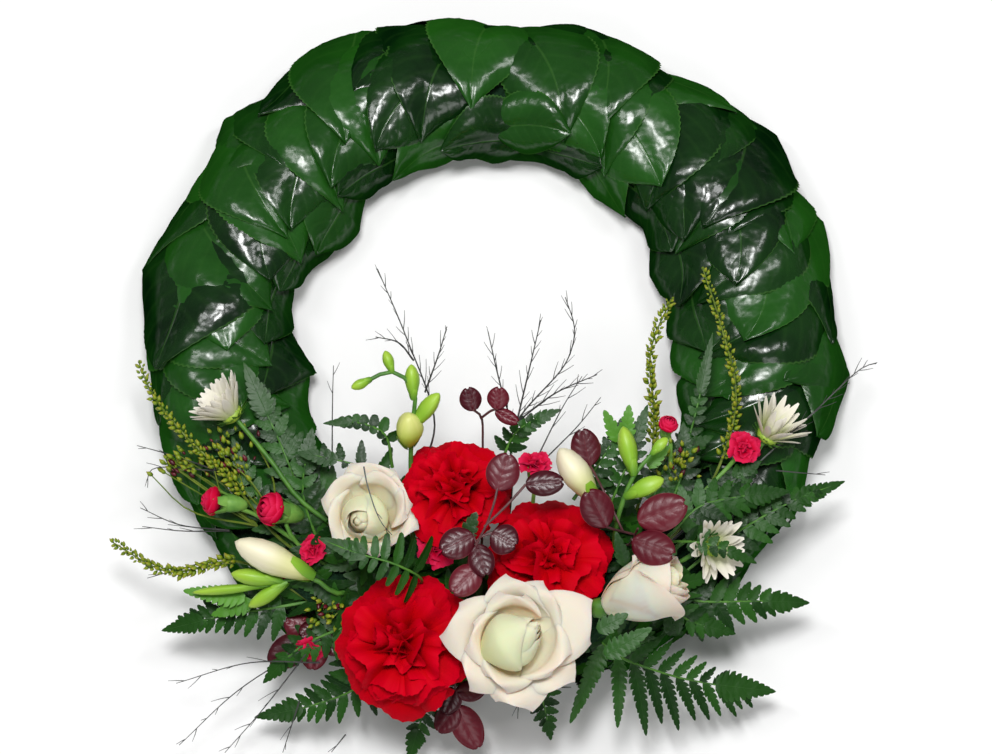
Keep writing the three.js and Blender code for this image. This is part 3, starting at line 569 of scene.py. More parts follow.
def frilledHead(piece, centre, axis, radius, shape, rng, thickness=0.5):
    # petals in a spiral from an upright, crumpled middle to a wide outside with broad lobes
    scale = radius / frills["drawn"]
    axes = axesFor(axis)
    u, v = grids(*shape["grid"], 0.12)
    tooth = np.where(np.arange(v.size) % 2, 1, -1)[None, :] * np.where(u > 0.99, shape["tooth"], 0.0)
    for i in range(shape["petals"]):
        openness = ((i + 0.5) / shape["petals"]) ** shape["crowding"]
        folded = 1 - openness**2
        turn = goldenTurn * i + rng.uniform(-0.3, 0.3)
        tilt = rng.uniform(-1, 1) * frills["riseSway"] * (0.3 + folded)
        rise = math.radians(frills["riseFrom"] - shape["opening"] * openness + tilt)
        length = scale * (frill("length", openness) + rng.uniform(*frills["lengthSway"]))
        spread = frill("spread", openness) + rng.uniform(-1, 1) * frills["spreadSway"]
        phase = rng.uniform(0, 6.28)
        lobes = 0.05 * np.sin(v * 6.0 + phase) * u**2
        reach = length * (u + tooth + lobes) * (1 - 0.12 * v**2 * u)
        outward, aside = reach * np.cos(v * spread), reach * np.sin(v * spread)
        waves = rng.uniform(*frills["waves"]) + 0.8 * folded
        depth = (frills["depth"] + frills["crumpled"] * folded) * rng.uniform(0.6, 1.4)
        ruffle = length * depth * u**1.2 * np.sin(v * math.pi * waves + 2 * phase)
        ruffle = ruffle + aside * math.tan(rng.uniform(-0.5, 0.5) * (0.25 + folded)) * u
        ruffle = ruffle + length * 0.03 * u**3 * np.sin(v * 11 + 3 * phase)
        angle = rise - frill("bow", openness) * u**2
        radial = outward * np.cos(angle) - ruffle * np.sin(angle)
        radial = radial + 0.04 * length - 5 * scale * (folded > 0.85)
        height = outward * np.sin(angle) + ruffle * np.cos(angle) - frills["foot"] * scale
        top = frills["top"] * scale
        height = top - np.logaddexp(0, top - height)  # levels off under the top
        piece.sheet(np.array(centre) + spun(radial, aside, height, turn) @ axes,
                    placed(u, v, rng.uniform()), thickness)


def stemTo(piece, centre, axis, path, drop, radius, kind, sides=8):
    under = np.array(centre) - unit(axis) * drop
    piece.tube([*path, tuple(under)], radius, sides, kind)


def makeCarnations():
    for number, head in enumerate(carnations["heads"], 1):
        centre, axis, scale = head["centre"], head["axis"], head["radius"] / frills["drawn"]
        piece = Piece(f"carnation_bloom_{number}", carnationRed, stemGreen)
        frilledHead(piece, centre, axis, head["radius"], carnations, np.random.default_rng(20 + number))
        piece.turned(scaled(carnations["calyx"], scale), centre, axis, kind=1)
        stemTo(piece, centre, axis, head["path"], carnations["drop"] * scale, 2.2, 1)
        piece.build("red_petal", f"carnation_{number}")


makeCarnations()
print("carnations made")


# A rose's closed layers, from its middle out: petals, half span, widest and rim radius, height, droop of the
# rim, how pointed the petals are, and 1 where they have the greener inner finish. Then the open petals, each
# with its direction, reach and height.
roses = {
    "thickness": 0.7, "droop": 3.0, "layerTurn": 0.9, "layerSway": 0.12,
    "core": [(0, -10), (6, 0), (5.5, 12)],  # this closes the bud, and its tip is counted from the bud's top
    "coreTip": [(3.4, -5), (1.6, -1.8), (0, -1)],
    "cup": [(0, -6), (4, -5.5), (6, -2), (5.5, 2), (0, 3)], "drop": 3.5,
    "heads": [
        {"centre": (-64, -88, 84), "axis": (-0.1, 0.05, 1), "bud": (-0.35, -0.3, 1), "scale": 0.86,
         "shift": (-3, -3, 0),
         "layers": [(2, 2.4, 3.6, 0.4, 19.0, 0.0, 0.1, 1), (3, 1.9, 9.0, 2.8, 19.0, 0.0, 0.1, 1),
                    (3, 1.8, 14.5, 7.0, 18.0, 0.4, 0.2, 1)],
         "petals": [(36, 25, 12), (88, 29, 14), (140, 29, 13), (192, 27, 14), (248, 26, 12), (312, 27, 11),
                    (15, 22, 14), (60, 23, 15)],
         "span": 1.0, "widest": 22, "flare": 6, "depth": 16, "point": 0.6,
         "path": [polar(238, 140, 49), (-66, -98, 57)]},
        {"centre": (13, -158, 100), "axis": (0.05, -0.12, 1), "bud": (0.78, 0.4, 0.5), "scale": 0.9,
         "shift": (-7, -3, 1),
         "layers": [(2, 2.4, 3.2, 0.4, 27.5, 0.0, 0.0, 1), (3, 1.9, 7.0, 2.2, 27.0, 0.0, 0.0, 1),
                    (3, 1.9, 13.0, 4.4, 25.5, 0.0, 0.1, 1), (2, 2.0, 17.0, 7.5, 23.0, 0.5, 0.3, 1)],
         "petals": [(12, 45, 7), (50, 33, 8), (84, 34, 8), (163, 40, 6), (213, 36, 5), (268, 39, 2),
                    (309, 38, 1), (330, 29, 12), (95, 26, 13), (175, 27, 12), (245, 28, 11)],
         "span": 0.95, "widest": 25, "flare": 6, "depth": 16, "point": 0.8,
         "path": [(8, -148, 47), (9, -151, 62)]},
        {"centre": (77, -132, 86), "axis": (0.9, 0.34, 0.3), "bud": (0.9, 0.34, 0.3), "scale": 0.95,
         "shift": (0, 0, 0),
         "layers": [(2, 2.2, 5.0, 3.0, 28.0, 0.0, 0.0, 1), (3, 1.8, 10.0, 7.0, 28.5, 0.0, 0.1, 1),
                    (2, 2.2, 13.5, 10.5, 29.0, 0.5, 0.2, 0), (3, 1.8, 16.5, 13.5, 28.0, 1.0, 0.25, 0)],
         "petals": [(62, 18.8, 23), (236, 20.5, 27)],
         "span": 1.6, "widest": 19, "flare": 3, "depth": 22, "point": 0.3,
         "path": [(56, -130, 47), (58, -135, 70)]},
    ],
}


def rosePetal(piece, centre, axes, turn, layer, scale, rng, depth=16, grid=(20, 21)):
    _, span, widest, rim, top, droop, point, inner = layer
    t, s = grids(*grid, 0.04)
    past = np.maximum(t - 0.62, 0) / 0.38  # from the widest place to the rim
    angle = span * (0.35 + 0.65 * np.sin(math.pi / 2 * np.minimum(t / 0.6, 1)))
    angle = angle * (1 - 0.9 * point * past**1.3)
    radius = 3 + (widest - 3) * np.sin(math.pi / 2 * np.minimum(t / 0.62, 1)) + (rim - widest) * past**1.2
    radius = radius * (1 + 0.07 * s) + 1.5 * past * abs(s) ** 3 + 1.1 * t * abs(s) ** 8
    height = -depth + (top + depth) * t * (1 - (0.14 + 0.1 * (1 - point)) * abs(s) ** 2.4 * t)
    height = height - droop * past**2 - 4.0 * point * past * abs(s) ** 1.5
    height = height + 0.9 * np.sin(2.6 * s + rng.uniform(0, 6)) * t**3
    local = scale * wrapped(radius, turn + angle * s, height)
    piece.sheet(np.array(centre) + local @ axes, placed(t, s, rng.uniform()), roses["thickness"], inner)


def closedBud(piece, centre, axis, layers, scale, rng, sway, *shape):
    for i, layer in enumerate(layers):
        for k in range(layer[0]):
            turn = 2 * math.pi * k / layer[0] + roses["layerTurn"] * i + rng.uniform(-1, 1) * sway
            rosePetal(piece, centre, axesFor(axis), turn, layer, scale, rng, *shape)


def makeRoses():
    for number, head in enumerate(roses["heads"], 1):
        rng = np.random.default_rng(40 + number)
        piece = Piece(f"rose_bloom_{number}", roseWhite, roseInner, stemGreen)
        centre, axis, scale, depth = head["centre"], head["axis"], head["scale"], head["depth"]
        bud = np.array(centre) + head["shift"]
        closedBud(piece, bud, head["bud"], head["layers"], scale, rng, roses["layerSway"], depth)
        budTop = head["layers"][0][4]
        core = roses["core"] + [(radius, budTop + down) for radius, down in roses["coreTip"]]
        piece.turned(scaled(core, scale), bud, head["bud"], kind=1)
        for turn, reach, top in head["petals"]:
            widest = min(head["widest"], reach - head["flare"])
            layer = (1, head["span"], widest, reach, top, roses["droop"], head["point"], 0)
            rosePetal(piece, centre, axesFor(axis), math.radians(turn), layer, scale, rng, depth)
        cup = [(radius, height - depth) for radius, height in roses["cup"]]
        piece.turned(scaled(cup, scale), centre, axis, kind=2)
        stemTo(piece, centre, axis, head["path"], (depth + roses["drop"]) * scale, 2.2, 2)
        piece.build("white_petal", f"rose_{number}")


makeRoses()
print("roses made")


smallCarnations = {
    "petals": 20, "grid": (8, 15), "crowding": 0.8, "tooth": 0.02, "thickness": 0.35,
    # a closed bud's layers, as for a rose, with the depth and the grid of its petals
    "budLayers": [(2, 2.2, 7, 2.0, 21, 0, 0, 0), (4, 1.5, 13, 7, 21, 0.5, 0.1, 0),
                  (5, 1.3, 18, 13, 18, 1, 0.15, 0), (5, 1.2, 20, 18, 12, 1, 0.2, 0)],
    "budDepth": 8, "budGrid": (10, 11), "budDrawn": 32, "budSway": 0.15,
    "husk": [(0, -54), (7, -50), (12.5, -38), (15, -26), (15.5, -14), (11, -9), (0, -10)],
    # the calyx's points, under an open head and under a bud: how far out they lean and how high they reach
    "points": 5, "openPoint": (4, 20), "budPoint": (8.5, 26),
    # each head's middle, direction, radius and how far it has opened, with 0 for a bud
    "left": {
        "stems": [
            [polar(235, 146, 54), (-104, -104, 58), (-112, -90, 64)],
            [(-108, -100, 59.6), (-130, -86, 62), (-142, -82, 64)],
            [polar(237, 146, 54), (-94, -112, 60)],
            [polar(240, 156, 52), (-112, -120, 60)],
            [polar(242, 160, 46), (-96, -150, 48)],
        ],
        "heads": [
            ((-118, -85, 71), (-0.75, 0.1, 0.7), 14, 0), ((-150, -80, 66), (-1, 0.1, 0.2), 12, 0),
            ((-97, -107, 67), (-0.3, 0.3, 1), 8, 20), ((-118, -122, 66), (-0.5, -0.4, 1), 8, 20),
            ((-99, -158, 52), (-0.2, -0.8, 0.7), 8, 20),
        ],
    },
    "center": {
        "stems": [[polar(256, 132, 52), (-32, -110, 66)],
                  [polar(279, 130, 52), (22, -84, 70), (23, -70, 88)]],
        "heads": [((-30, -107, 78), (0, 0.1, 1), 11, 24), ((23, -64, 98), (0.1, 0.7, 0.8), 9, 24)],
    },
    "right": {
        "stems": [
            [polar(304, 132, 53), (104, -84, 62), (132, -57, 64)],
            [(98, -92, 60), (97, -60, 70), (96, -46, 78)],
        ],
        "heads": [((137, -51, 70), (0.3, 0.2, 1), 9, 28), ((95, -41, 84), (0.2, 0.6, 1), 8, 0)],
    },
}


def smallBloom(piece, centre, axis, radius, opening, rng):
    kind, scale = smallCarnations, radius / frills["drawn"]
    if opening:
        frilledHead(piece, centre, axis, radius * 1.15, {**kind, "opening": opening}, rng, kind["thickness"])
    else:
        closedBud(piece, centre, axis, kind["budLayers"], radius / kind["budDrawn"], rng, kind["budSway"],
                  kind["budDepth"], kind["budGrid"])
    piece.turned(scaled(kind["husk"], scale), centre, axis, 15, kind=1, lobes=kind["points"], depth=0.05)
    lean, tall = kind["openPoint"] if opening else kind["budPoint"]
    for k in range(kind["points"]):
        u, v = grids(7, 5)
        around = 2 * math.pi * k / kind["points"] + v * 0.55 * (1 - u**1.5)
        local = scale * wrapped(15.7 + lean * u**1.2, around, tall * u - 18)
        piece.sheet(np.array(centre) + local @ axesFor(axis), placed(u, v, 0.8), 0.4, front=1)


def makeSmallCarnations():
    for number, name in enumerate(("left", "center", "right")):
        rng = np.random.default_rng(60 + number)
        spray = smallCarnations[name]
        piece = Piece(f"small_carnations_{name}", carnationPink, huskGreen)
        for path, (centre, axis, radius, opening) in zip(spray["stems"], spray["heads"]):
            smallBloom(piece, centre, axis, radius, opening, rng)
            stemTo(piece, centre, axis, path, 1.4 * radius, 1.2, 1, 6)
        piece.build("pink_petal", f"spray_carnation_{name}")


makeSmallCarnations()
print("small carnations made")


daisies = {
    "eye": [(0, -3), (3.5, -2.4), (6.2, -0.5), (6.4, 1.5), (4.6, 3.4), (0, 4.2)],
    "bracts": 36, "florets": 60, "floret": [(0, 0), (0.55, 0.3), (0.5, 1.3), (0, 1.8)], "eyeRadius": 5.6,
    # spread and rise are how far out and up the petals reach, loose how unevenly they stand
    "flowers": [
        {"centre": (-141, -33, 68), "axis": (-0.62, 0.6, 0.42), "spread": 17, "rise": 17, "petals": 40,
         "loose": 0.12, "width": 2.7, "path": [polar(235, 131, 55), (-105, -78, 63), (-120, -58, 66)]},
        {"centre": (150, -44, 64), "axis": (0.5, 0.6, 0.6), "spread": 17, "rise": 17, "petals": 26,
         "loose": 0.34, "width": 2.3, "path": [polar(304, 150, 56), (124, -84, 61)]},
        {"centre": (118, -104, 65), "axis": (0.55, -0.3, 0.8), "spread": 18, "rise": 9, "petals": 30,
         "loose": 0.3, "width": 2.7, "path": [polar(303, 154, 50), (104, -111, 58)]},
    ],
}


def daisyPetals(piece, centre, axes, flower, rng):
    u, v = grids(10, 7)
    spread, rise = flower["spread"] - 4, flower["rise"]
    for i in range(flower["petals"]):
        inner = i % 2
        turn = 2 * math.pi * i / flower["petals"] + rng.uniform(-0.06, 0.06)
        tilt = math.atan2(rise, spread) + 0.16 * inner + rng.uniform(-1, 1) * flower["loose"]
        length = math.hypot(spread, rise) * (1.12 - 0.12 * inner) * rng.uniform(0.92, 1.06)
        halfWidth = flower["width"] * np.sin(math.pi * (0.12 + 0.83 * u)) ** 0.8
        outward = 3.5 + length * u * math.cos(tilt) - 0.6 * u**2 * math.sin(tilt)
        height = length * u * math.sin(tilt) - 1.2 * u**2 + 0.8 * v**2 * halfWidth / flower["width"]
        local = spun(outward, v * halfWidth, height, turn)
        piece.sheet(centre + local @ axes, placed(u, v, rng.uniform()), 0.45)


def daisyEyeAndBracts(piece, centre, axes, flower, rng):
    piece.turned(daisies["eye"], centre, flower["axis"], 14, kind=1)
    u, v = grids(5, 3)
    for i in range(daisies["bracts"]):  # the green fringe under the petals
        tilt = math.atan2(flower["rise"], flower["spread"]) - rng.uniform(0.1, 0.5)
        aside = v * (0.9 * (1 - u**2) + 0.05)
        local = spun(2.5 + 9 * u * math.cos(tilt), aside, 9 * u * math.sin(tilt) - 2.2, goldenTurn * i)
        piece.sheet(centre + local @ axes, placed(u, v, rng.uniform()), 0.3, front=2)
    for i in range(daisies["florets"]):
        reach = daisies["eyeRadius"] * math.sqrt((i + 0.5) / daisies["florets"])
        base = centre + spun(reach, 0.0, 3.6 - 0.06 * reach**2, goldenTurn * i) @ axes
        piece.turned(daisies["floret"], base, flower["axis"], 5, kind=1, tint=rng.uniform())


def makeDaisies():
    for number, flower in enumerate(daisies["flowers"], 1):
        rng = np.random.default_rng(70 + number)
        piece = Piece(f"daisy_bloom_{number}", daisyWhite, daisyEye, stemGreen)
        centre, axes = np.array(flower["centre"], float), axesFor(flower["axis"])
        daisyPetals(piece, centre, axes, flower, rng)
        daisyEyeAndBracts(piece, centre, axes, flower, rng)
        stemTo(piece, centre, flower["axis"], flower["path"], 2, 1.3, 2)
        piece.build("white_petal", f"daisy_{number}")


makeDaisies()
print("daisies made")


# a freesia's finishes are 0 cream, 1 lime, 2 green and 3 for the stem
budShape = [(0, 0), (0.3, 0.03), (0.5, 0.12), (0.74, 0.28), (0.95, 0.45), (1, 0.58), (0.9, 0.72),
            (0.66, 0.86), (0.34, 0.95), (0, 1)]
freesias = [
    {
        "stems": [[polar(249, 134, 52), (-43, -100, 64), (-44, -60, 74), (-43, -44, 92), (-42, -24, 106),
                   (-54, -16, 110), (-66, -21, 110)]],
        "buds": [
            ((-45, -52, 82), (-44, -38, 103), 7.5, 1), ((-43, -44, 92), (-28, -27, 106), 4.6, 2),
            ((-42, -30, 102), (-43, -12, 110), 4, 2), ((-53, -17, 109.5), (-57, -5, 112), 3, 2),
            ((-64, -20, 110), (-75, -25, 110), 2.8, 2),
        ],
    },
    {
        "stems": [[polar(243, 146, 51), (-84, -130, 66), (-98, -122, 72), (-122, -126, 68)]],
        "buds": [
            ((-96, -122, 72.6), (-138, -104, 84), 8.5, 0), ((-113, -124, 70), (-141, -120, 72), 4.5, 2),
            ((-110, -124, 70), (-132, -137, 62), 4, 2), ((-121, -126, 68.4), (-163, -129, 60), 2.6, 2),
        ],
    },
    {
        "stems": [
            [polar(299, 134, 51), (66, -104, 70), (68, -90, 86), (76, -70, 95), (86, -58, 97)],
            [(67, -92, 84), (60, -87, 87), (56, -84, 89)],
        ],
        "buds": [
            ((56, -84, 89), (36, -55, 95), 8, 0), ((76, -70, 95), (70, -44, 101), 5, 2),
            ((71, -81, 91), (92, -72, 98), 5, 2), ((85, -59, 97), (94, -50, 99), 3, 2),
        ],
    },
]


def freesiaBud(piece, base, tip, radius, kind):
    base, tip = np.array(base, float), np.array(tip, float)
    length = np.linalg.norm(tip - base)
    tint = (base[0] * 0.37) % 1
    piece.turned(scaled(budShape, radius, length), base, tip - base, 18, kind, lobes=3, depth=0.07, tint=tint)
    u, v = grids(8, 7)
    reach = radius * np.interp(u, [0, 0.5, 1], [0.34, 0.62, 0.86]) * 1.07
    for turn in (0.4, 3.5):  # the two bracts round the foot
        local = wrapped(reach, turn + v * 1.35 * (1 - 0.8 * u), 0.34 * length * u)
        piece.sheet(base + local @ axesFor(tip - base), placed(u * 0.4, v, 0.5), front=2)


def makeFreesias():
    for number, one in enumerate(freesias, 1):
        piece = Piece(f"freesia_stem_{number}", creamBud, limeBud, greenBud, stemGreen)
        for base, tip, radius, kind in one["buds"]:
            freesiaBud(piece, base, tip, radius, kind)
        for path in one["stems"]:
            piece.tube(path, (1.6, 1.1), sides=8, kind=3)
        piece.build("cream_bud", f"freesia_{number}")


makeFreesias()
print("freesias made")


# Foliage

ferns = {
    "thickness": 0.4, "toothLength": 3.6, "sickle": 0.05, "spacing": 1.25, "blade": 0.26, "steps": 121,
    # width is the longest leaflet on each side of the midrib, bare the share of the stalk with none on it,
    # broad how wide the leaflets are for their length, cut how deep their teeth go, blunt how round the tips
    "fronds": [
        {"path": [polar(237, 166, 50), (-116, -136, 53), (-150, -141, 46), (-181, -147, 34)],
         "width": (20, 26), "bare": 0.25, "pairs": 10, "broad": 1.1},
        {"path": [polar(250, 160, 49), (-70, -176, 44), (-98, -188, 34), (-130, -194, 26)],
         "width": (24, 26), "bare": 0.2, "pairs": 11, "broad": 1.05},
        {"path": [polar(258, 158, 48), (-36, -186, 38), (-42, -205, 26), (-46, -218, 18)],
         "width": (20, 19), "bare": 0.25, "pairs": 8, "broad": 1.1},
        {"path": [polar(291, 147, 49), (62, -158, 55), (92, -171, 46), (122, -177, 37), (156, -180, 27)],
         "width": (29, 47), "bare": 0.2, "pairs": 11, "broad": 0.95, "cut": 0.6},
        {"path": [polar(302, 161, 52), (116, -133, 52), (145, -132, 45), (174, -132, 36)],
         "width": (23, 25), "bare": 0.2, "pairs": 9, "broad": 1.25},
        {"path": [polar(305, 143, 56), (98, -97, 72), (112, -84, 75), (134, -78, 71), (162, -74, 64)],
         "width": (22, 23), "bare": 0.3, "pairs": 9, "broad": 1.3},
        {"path": [polar(305, 164, 54), (130, -98, 57), (165, -78, 56), (194, -66, 46)],
         "width": (19, 22), "bare": 0.3, "pairs": 10, "broad": 1.2},
        {"path": [polar(236, 126, 50), (-100, -78, 58), (-118, -42, 61), (-136, -3, 64)],
         "width": (25, 28), "bare": 0.15, "pairs": 12, "broad": 1.25},
        {"path": [polar(252, 143, 50), (-38, -124, 86), (-52, -118, 101), (-73, -112, 102), (-92, -104, 98)],
         "width": (17, 23), "bare": 0.42, "pairs": 8, "broad": 0.82, "slant": -0.1, "cut": 0.1,
         "blunt": 0.35},
        {"path": [polar(305, 138, 49), (98, -72, 58), (110, -36, 63), (121, 13, 67)],
         "width": (11, 11), "bare": 0.4, "pairs": 11, "broad": 1.0},
    ],
    "small": [
        {"path": [(22, -172, 60), (28, -188, 48), (32, -206, 34)],
         "width": (17, 16), "bare": 0.1, "pairs": 6},
        {"path": [(-38, -94, 58), (-62, -66, 74), (-86, -58, 75), (-106, -54, 72)], "width": (10, 26),
         "bare": 0.1, "pairs": 6, "broad": 1.1, "slant": 0.0},
        {"path": [(-92, -108, 50), (-103, -74, 62), (-98, -40, 66)],
         "width": (22, 20), "bare": 0.1, "pairs": 8},
        {"path": [(-54, -62, 72), (-58, -46, 86), (-72, -40, 87), (-90, -40, 85)], "width": (3, 10),
         "bare": 0.3, "pairs": 7, "slant": 0.1, "cut": 0.1, "blunt": 0.35},
        {"path": [(4, -62, 76), (14, -44, 86), (36, -34, 92)], "width": (11, 12), "bare": 0.2, "pairs": 7},
        {"path": [(78, -118, 60), (104, -142, 56), (132, -150, 48)],
         "width": (22, 18), "bare": 0.15, "pairs": 8},
        {"path": [(120, -92, 62), (126, -74, 66), (146, -58, 64)],
         "width": (18, 18), "bare": 0.1, "pairs": 8},
        {"path": [(96, -84, 66), (104, -62, 70), (104, -38, 72)], "width": (17, 17), "bare": 0.1, "pairs": 7},
        {"path": [(44, -80, 74), (60, -58, 82), (72, -36, 84)], "width": (14, 14), "bare": 0.2, "pairs": 7},
        {"path": [(-76, -146, 60), (-104, -158, 54), (-124, -176, 44)],
         "width": (17, 18), "bare": 0.1, "pairs": 8},
        {"path": [(86, -102, 64), (114, -104, 77), (142, -114, 72)],
         "width": (11, 10), "bare": 0.35, "pairs": 6},
        {"path": [(56, -100, 62), (72, -64, 80), (84, -30, 82)], "width": (17, 17), "bare": 0.25, "pairs": 8},
        {"path": [(86, -84, 66), (96, -58, 68), (120, -44, 64)], "width": (19, 19), "bare": 0.1, "pairs": 8},
        {"path": [(-106, -106, 50), (-130, -72, 60), (-142, -44, 60)],
         "width": (17, 17), "bare": 0.1, "pairs": 8},
    ],
    # lobed leaves that stand alone, each with its foot, tip, half width, and 0 where bright or 2 where dark
    "lobed": [
        ((-134, -132, 60), (-170, -127, 55), 7.5, 0), ((-130, -134, 58), (-154, -141, 54), 6.5, 0),
        ((56, -153, 96), (73, -144, 99), 6.5, 2), ((60, -166, 92), (86, -151, 98), 7.5, 2),
        ((71, -118, 92), (66, -100, 98), 5, 2), ((-14, -104, 98), (-8, -90, 103), 6, 2),
        ((68, -50, 86), (60, -33, 92), 5.5, 0), ((72, -50, 86), (74, -30, 92), 6, 0),
        ((84, -64, 86), (96, -52, 88), 5, 0),
    ],
}


def pinna(piece, base, direction, cross, lift, size, halfWidth, tint, sag, kinds=(0, 1), cut=0.36, blunt=0.6):
    # a leaflet with teeth that look forward, deeper towards its foot
    teeth = max(4, round(size / ferns["toothLength"]))
    u, v = grids(4 * teeth + 1, 5)
    phase = (u * teeth) % 1.0
    saw = np.interp(phase, [0, 0.3, 0.75, 1], [0.2, 0.84, 1, 0.8])
    deep = cut * (1 - 0.5 * u)
    taper = np.minimum(1, 0.42 + 3 * u) * np.maximum(1 - u, 0.0) ** blunt
    width = halfWidth * taper * (1 - deep + deep * saw) + 0.1
    along = size * (u + 0.5 * abs(v) * phase * (1 - u) / teeth)
    drop = -sag * u**2 + 0.8 * abs(v) * width / halfWidth
    sickle = ferns["sickle"] * size * u**2
    grid = (base + along[..., None] * direction + (v * width)[..., None] * cross + drop[..., None] * lift
            + sickle[..., None] * unit(np.cross(lift, cross)))
    piece.sheet(grid, placed(u, v, tint), ferns["thickness"], *kinds)


def frond(piece, path, width, bare, pairs, rng, broad=1.2, slant=0.5, cut=0.36, blunt=0.6):
    steps = ferns["steps"]
    curve = smoothPath(path, steps)
    tangents = unit(np.gradient(curve, axis=0))
    piece.tube(path, (1.0, 0.3), kind=2, steps=24)
    last = 1 - 0.6 * ferns["blade"]
    for i in range(pairs):
        share = 1 - (1 - (i + 0.2) / pairs) ** ferns["spacing"]
        for side, longest in zip((-1, 1), width):
            at = int((bare + (last - bare) * min(share + (0.25 / pairs) * (side > 0), 0.99)) * (steps - 1))
            tangent = tangents[at]
            aside = unit(np.cross(tangent, (0, 0, 1)))
            lift = np.cross(aside, tangent)
            size = max(longest * (1.04 - 0.74 * share), 4.0) * rng.uniform(0.9, 1.06)
            direction = unit(aside * side + tangent * (slant + 0.5 * share + rng.uniform(-0.05, 0.05))
                             + lift * rng.uniform(-0.10, 0.14))
            cross = unit(np.cross(lift, direction))
            pinna(piece, curve[at], direction, cross, unit(np.cross(direction, cross)), size,
                  broad * (2.0 + 0.1 * size), rng.uniform(), 0.12 * size, cut=cut, blunt=blunt)
    # the blade at the tip, where the leaflets run together
    at = int((1 - ferns["blade"]) * (steps - 1))
    ahead = unit(curve[-1] - curve[at])
    cross = unit(np.cross((0, 0, 1), ahead))
    above = np.cross(ahead, cross)
    length = np.linalg.norm(curve[-1] - curve[at]) + 2
    halfWidth = min(0.12 * sum(width) + 2.0, 0.32 * length)
    pinna(piece, curve[at] + 0.6 * above, ahead, cross, above, length, halfWidth, 0.5, 0.5,
          cut=min(1.6 * cut, 0.5), blunt=0.8)


def makeFerns():
    rng = np.random.default_rng(80)
    for number, one in enumerate(ferns["fronds"], 1):
        piece = Piece(f"fern_frond_{number}", fernTop, fernUnder, stemGreen)
        frond(piece, rng=rng, **one)
        piece.build("green_foliage", f"fern_{number}")
    for number, one in enumerate(ferns["small"], 1):
        piece = Piece(f"small_fern_{number}", fernTop, fernUnder, stemGreen)
        frond(piece, rng=rng, **one)
        piece.build("green_foliage")
    piece = Piece("lobed_leaves", lobedLeaf, fernUnder, fernTop)
    for foot, tip, halfWidth, kind in ferns["lobed"]:
        ahead = np.array(tip, float) - foot
        cross = unit(np.cross((0, 0, 1), ahead))
        pinna(piece, foot, unit(ahead), cross, unit(np.cross(ahead, cross)), np.linalg.norm(ahead),
              halfWidth, rng.uniform(), 1.0, (kind, 1), cut=0.6)
    piece.build("green_foliage")


makeFerns()

# Loose leaflets that hide the foam between the flowers, rooted on its section, which is given as radius and
# height. They lean away from the middle of that section.
fillers = {
    "section": [(116, 14), (118, 40), (121, 58), (130, 63), (147, 64), (165, 63), (173, 58), (182, 40),
                (188, 16)],
    "middle": (150, 25), "count": 120, "length": (18, 34), "halfWidth": (4.5, 8.0), "lean": (0.0, 0.45),
    "bushes": {"bush_left": (230, 262), "bush_middle": (256, 284), "bush_right": (278, 311)},
}


def makeBushes():
    radii, heights = np.array(fillers["section"], float).T
    spots = np.linspace(0, 1, len(radii))
    for number, (name, angles) in enumerate(fillers["bushes"].items()):
        rng = np.random.default_rng(120 + number)
        piece = Piece(name, fernTop, fernUnder)
        for _ in range(fillers["count"]):
            angle, spot = rng.uniform(*angles), rng.uniform()
            foot = np.array(polar(angle, np.interp(spot, spots, radii), np.interp(spot, spots, heights)))
            outward = unit(foot - polar(angle, *fillers["middle"]))
            lean = rng.normal(size=3)
            flat = unit(lean - outward * np.dot(lean, outward))
            direction = unit(outward * rng.uniform(*fillers["lean"]) + flat)
            cross = unit(np.cross(outward, direction) + 0.3 * rng.normal(size=3))
            cross = unit(cross - direction * np.dot(cross, direction))
            size = rng.uniform(*fillers["length"])
            pinna(piece, foot - direction * 0.3 * size, direction, cross, np.cross(direction, cross), size,
                  rng.uniform(*fillers["halfWidth"]), rng.uniform(), 3.0)
        piece.build("green_foliage")


makeBushes()
print("ferns made")


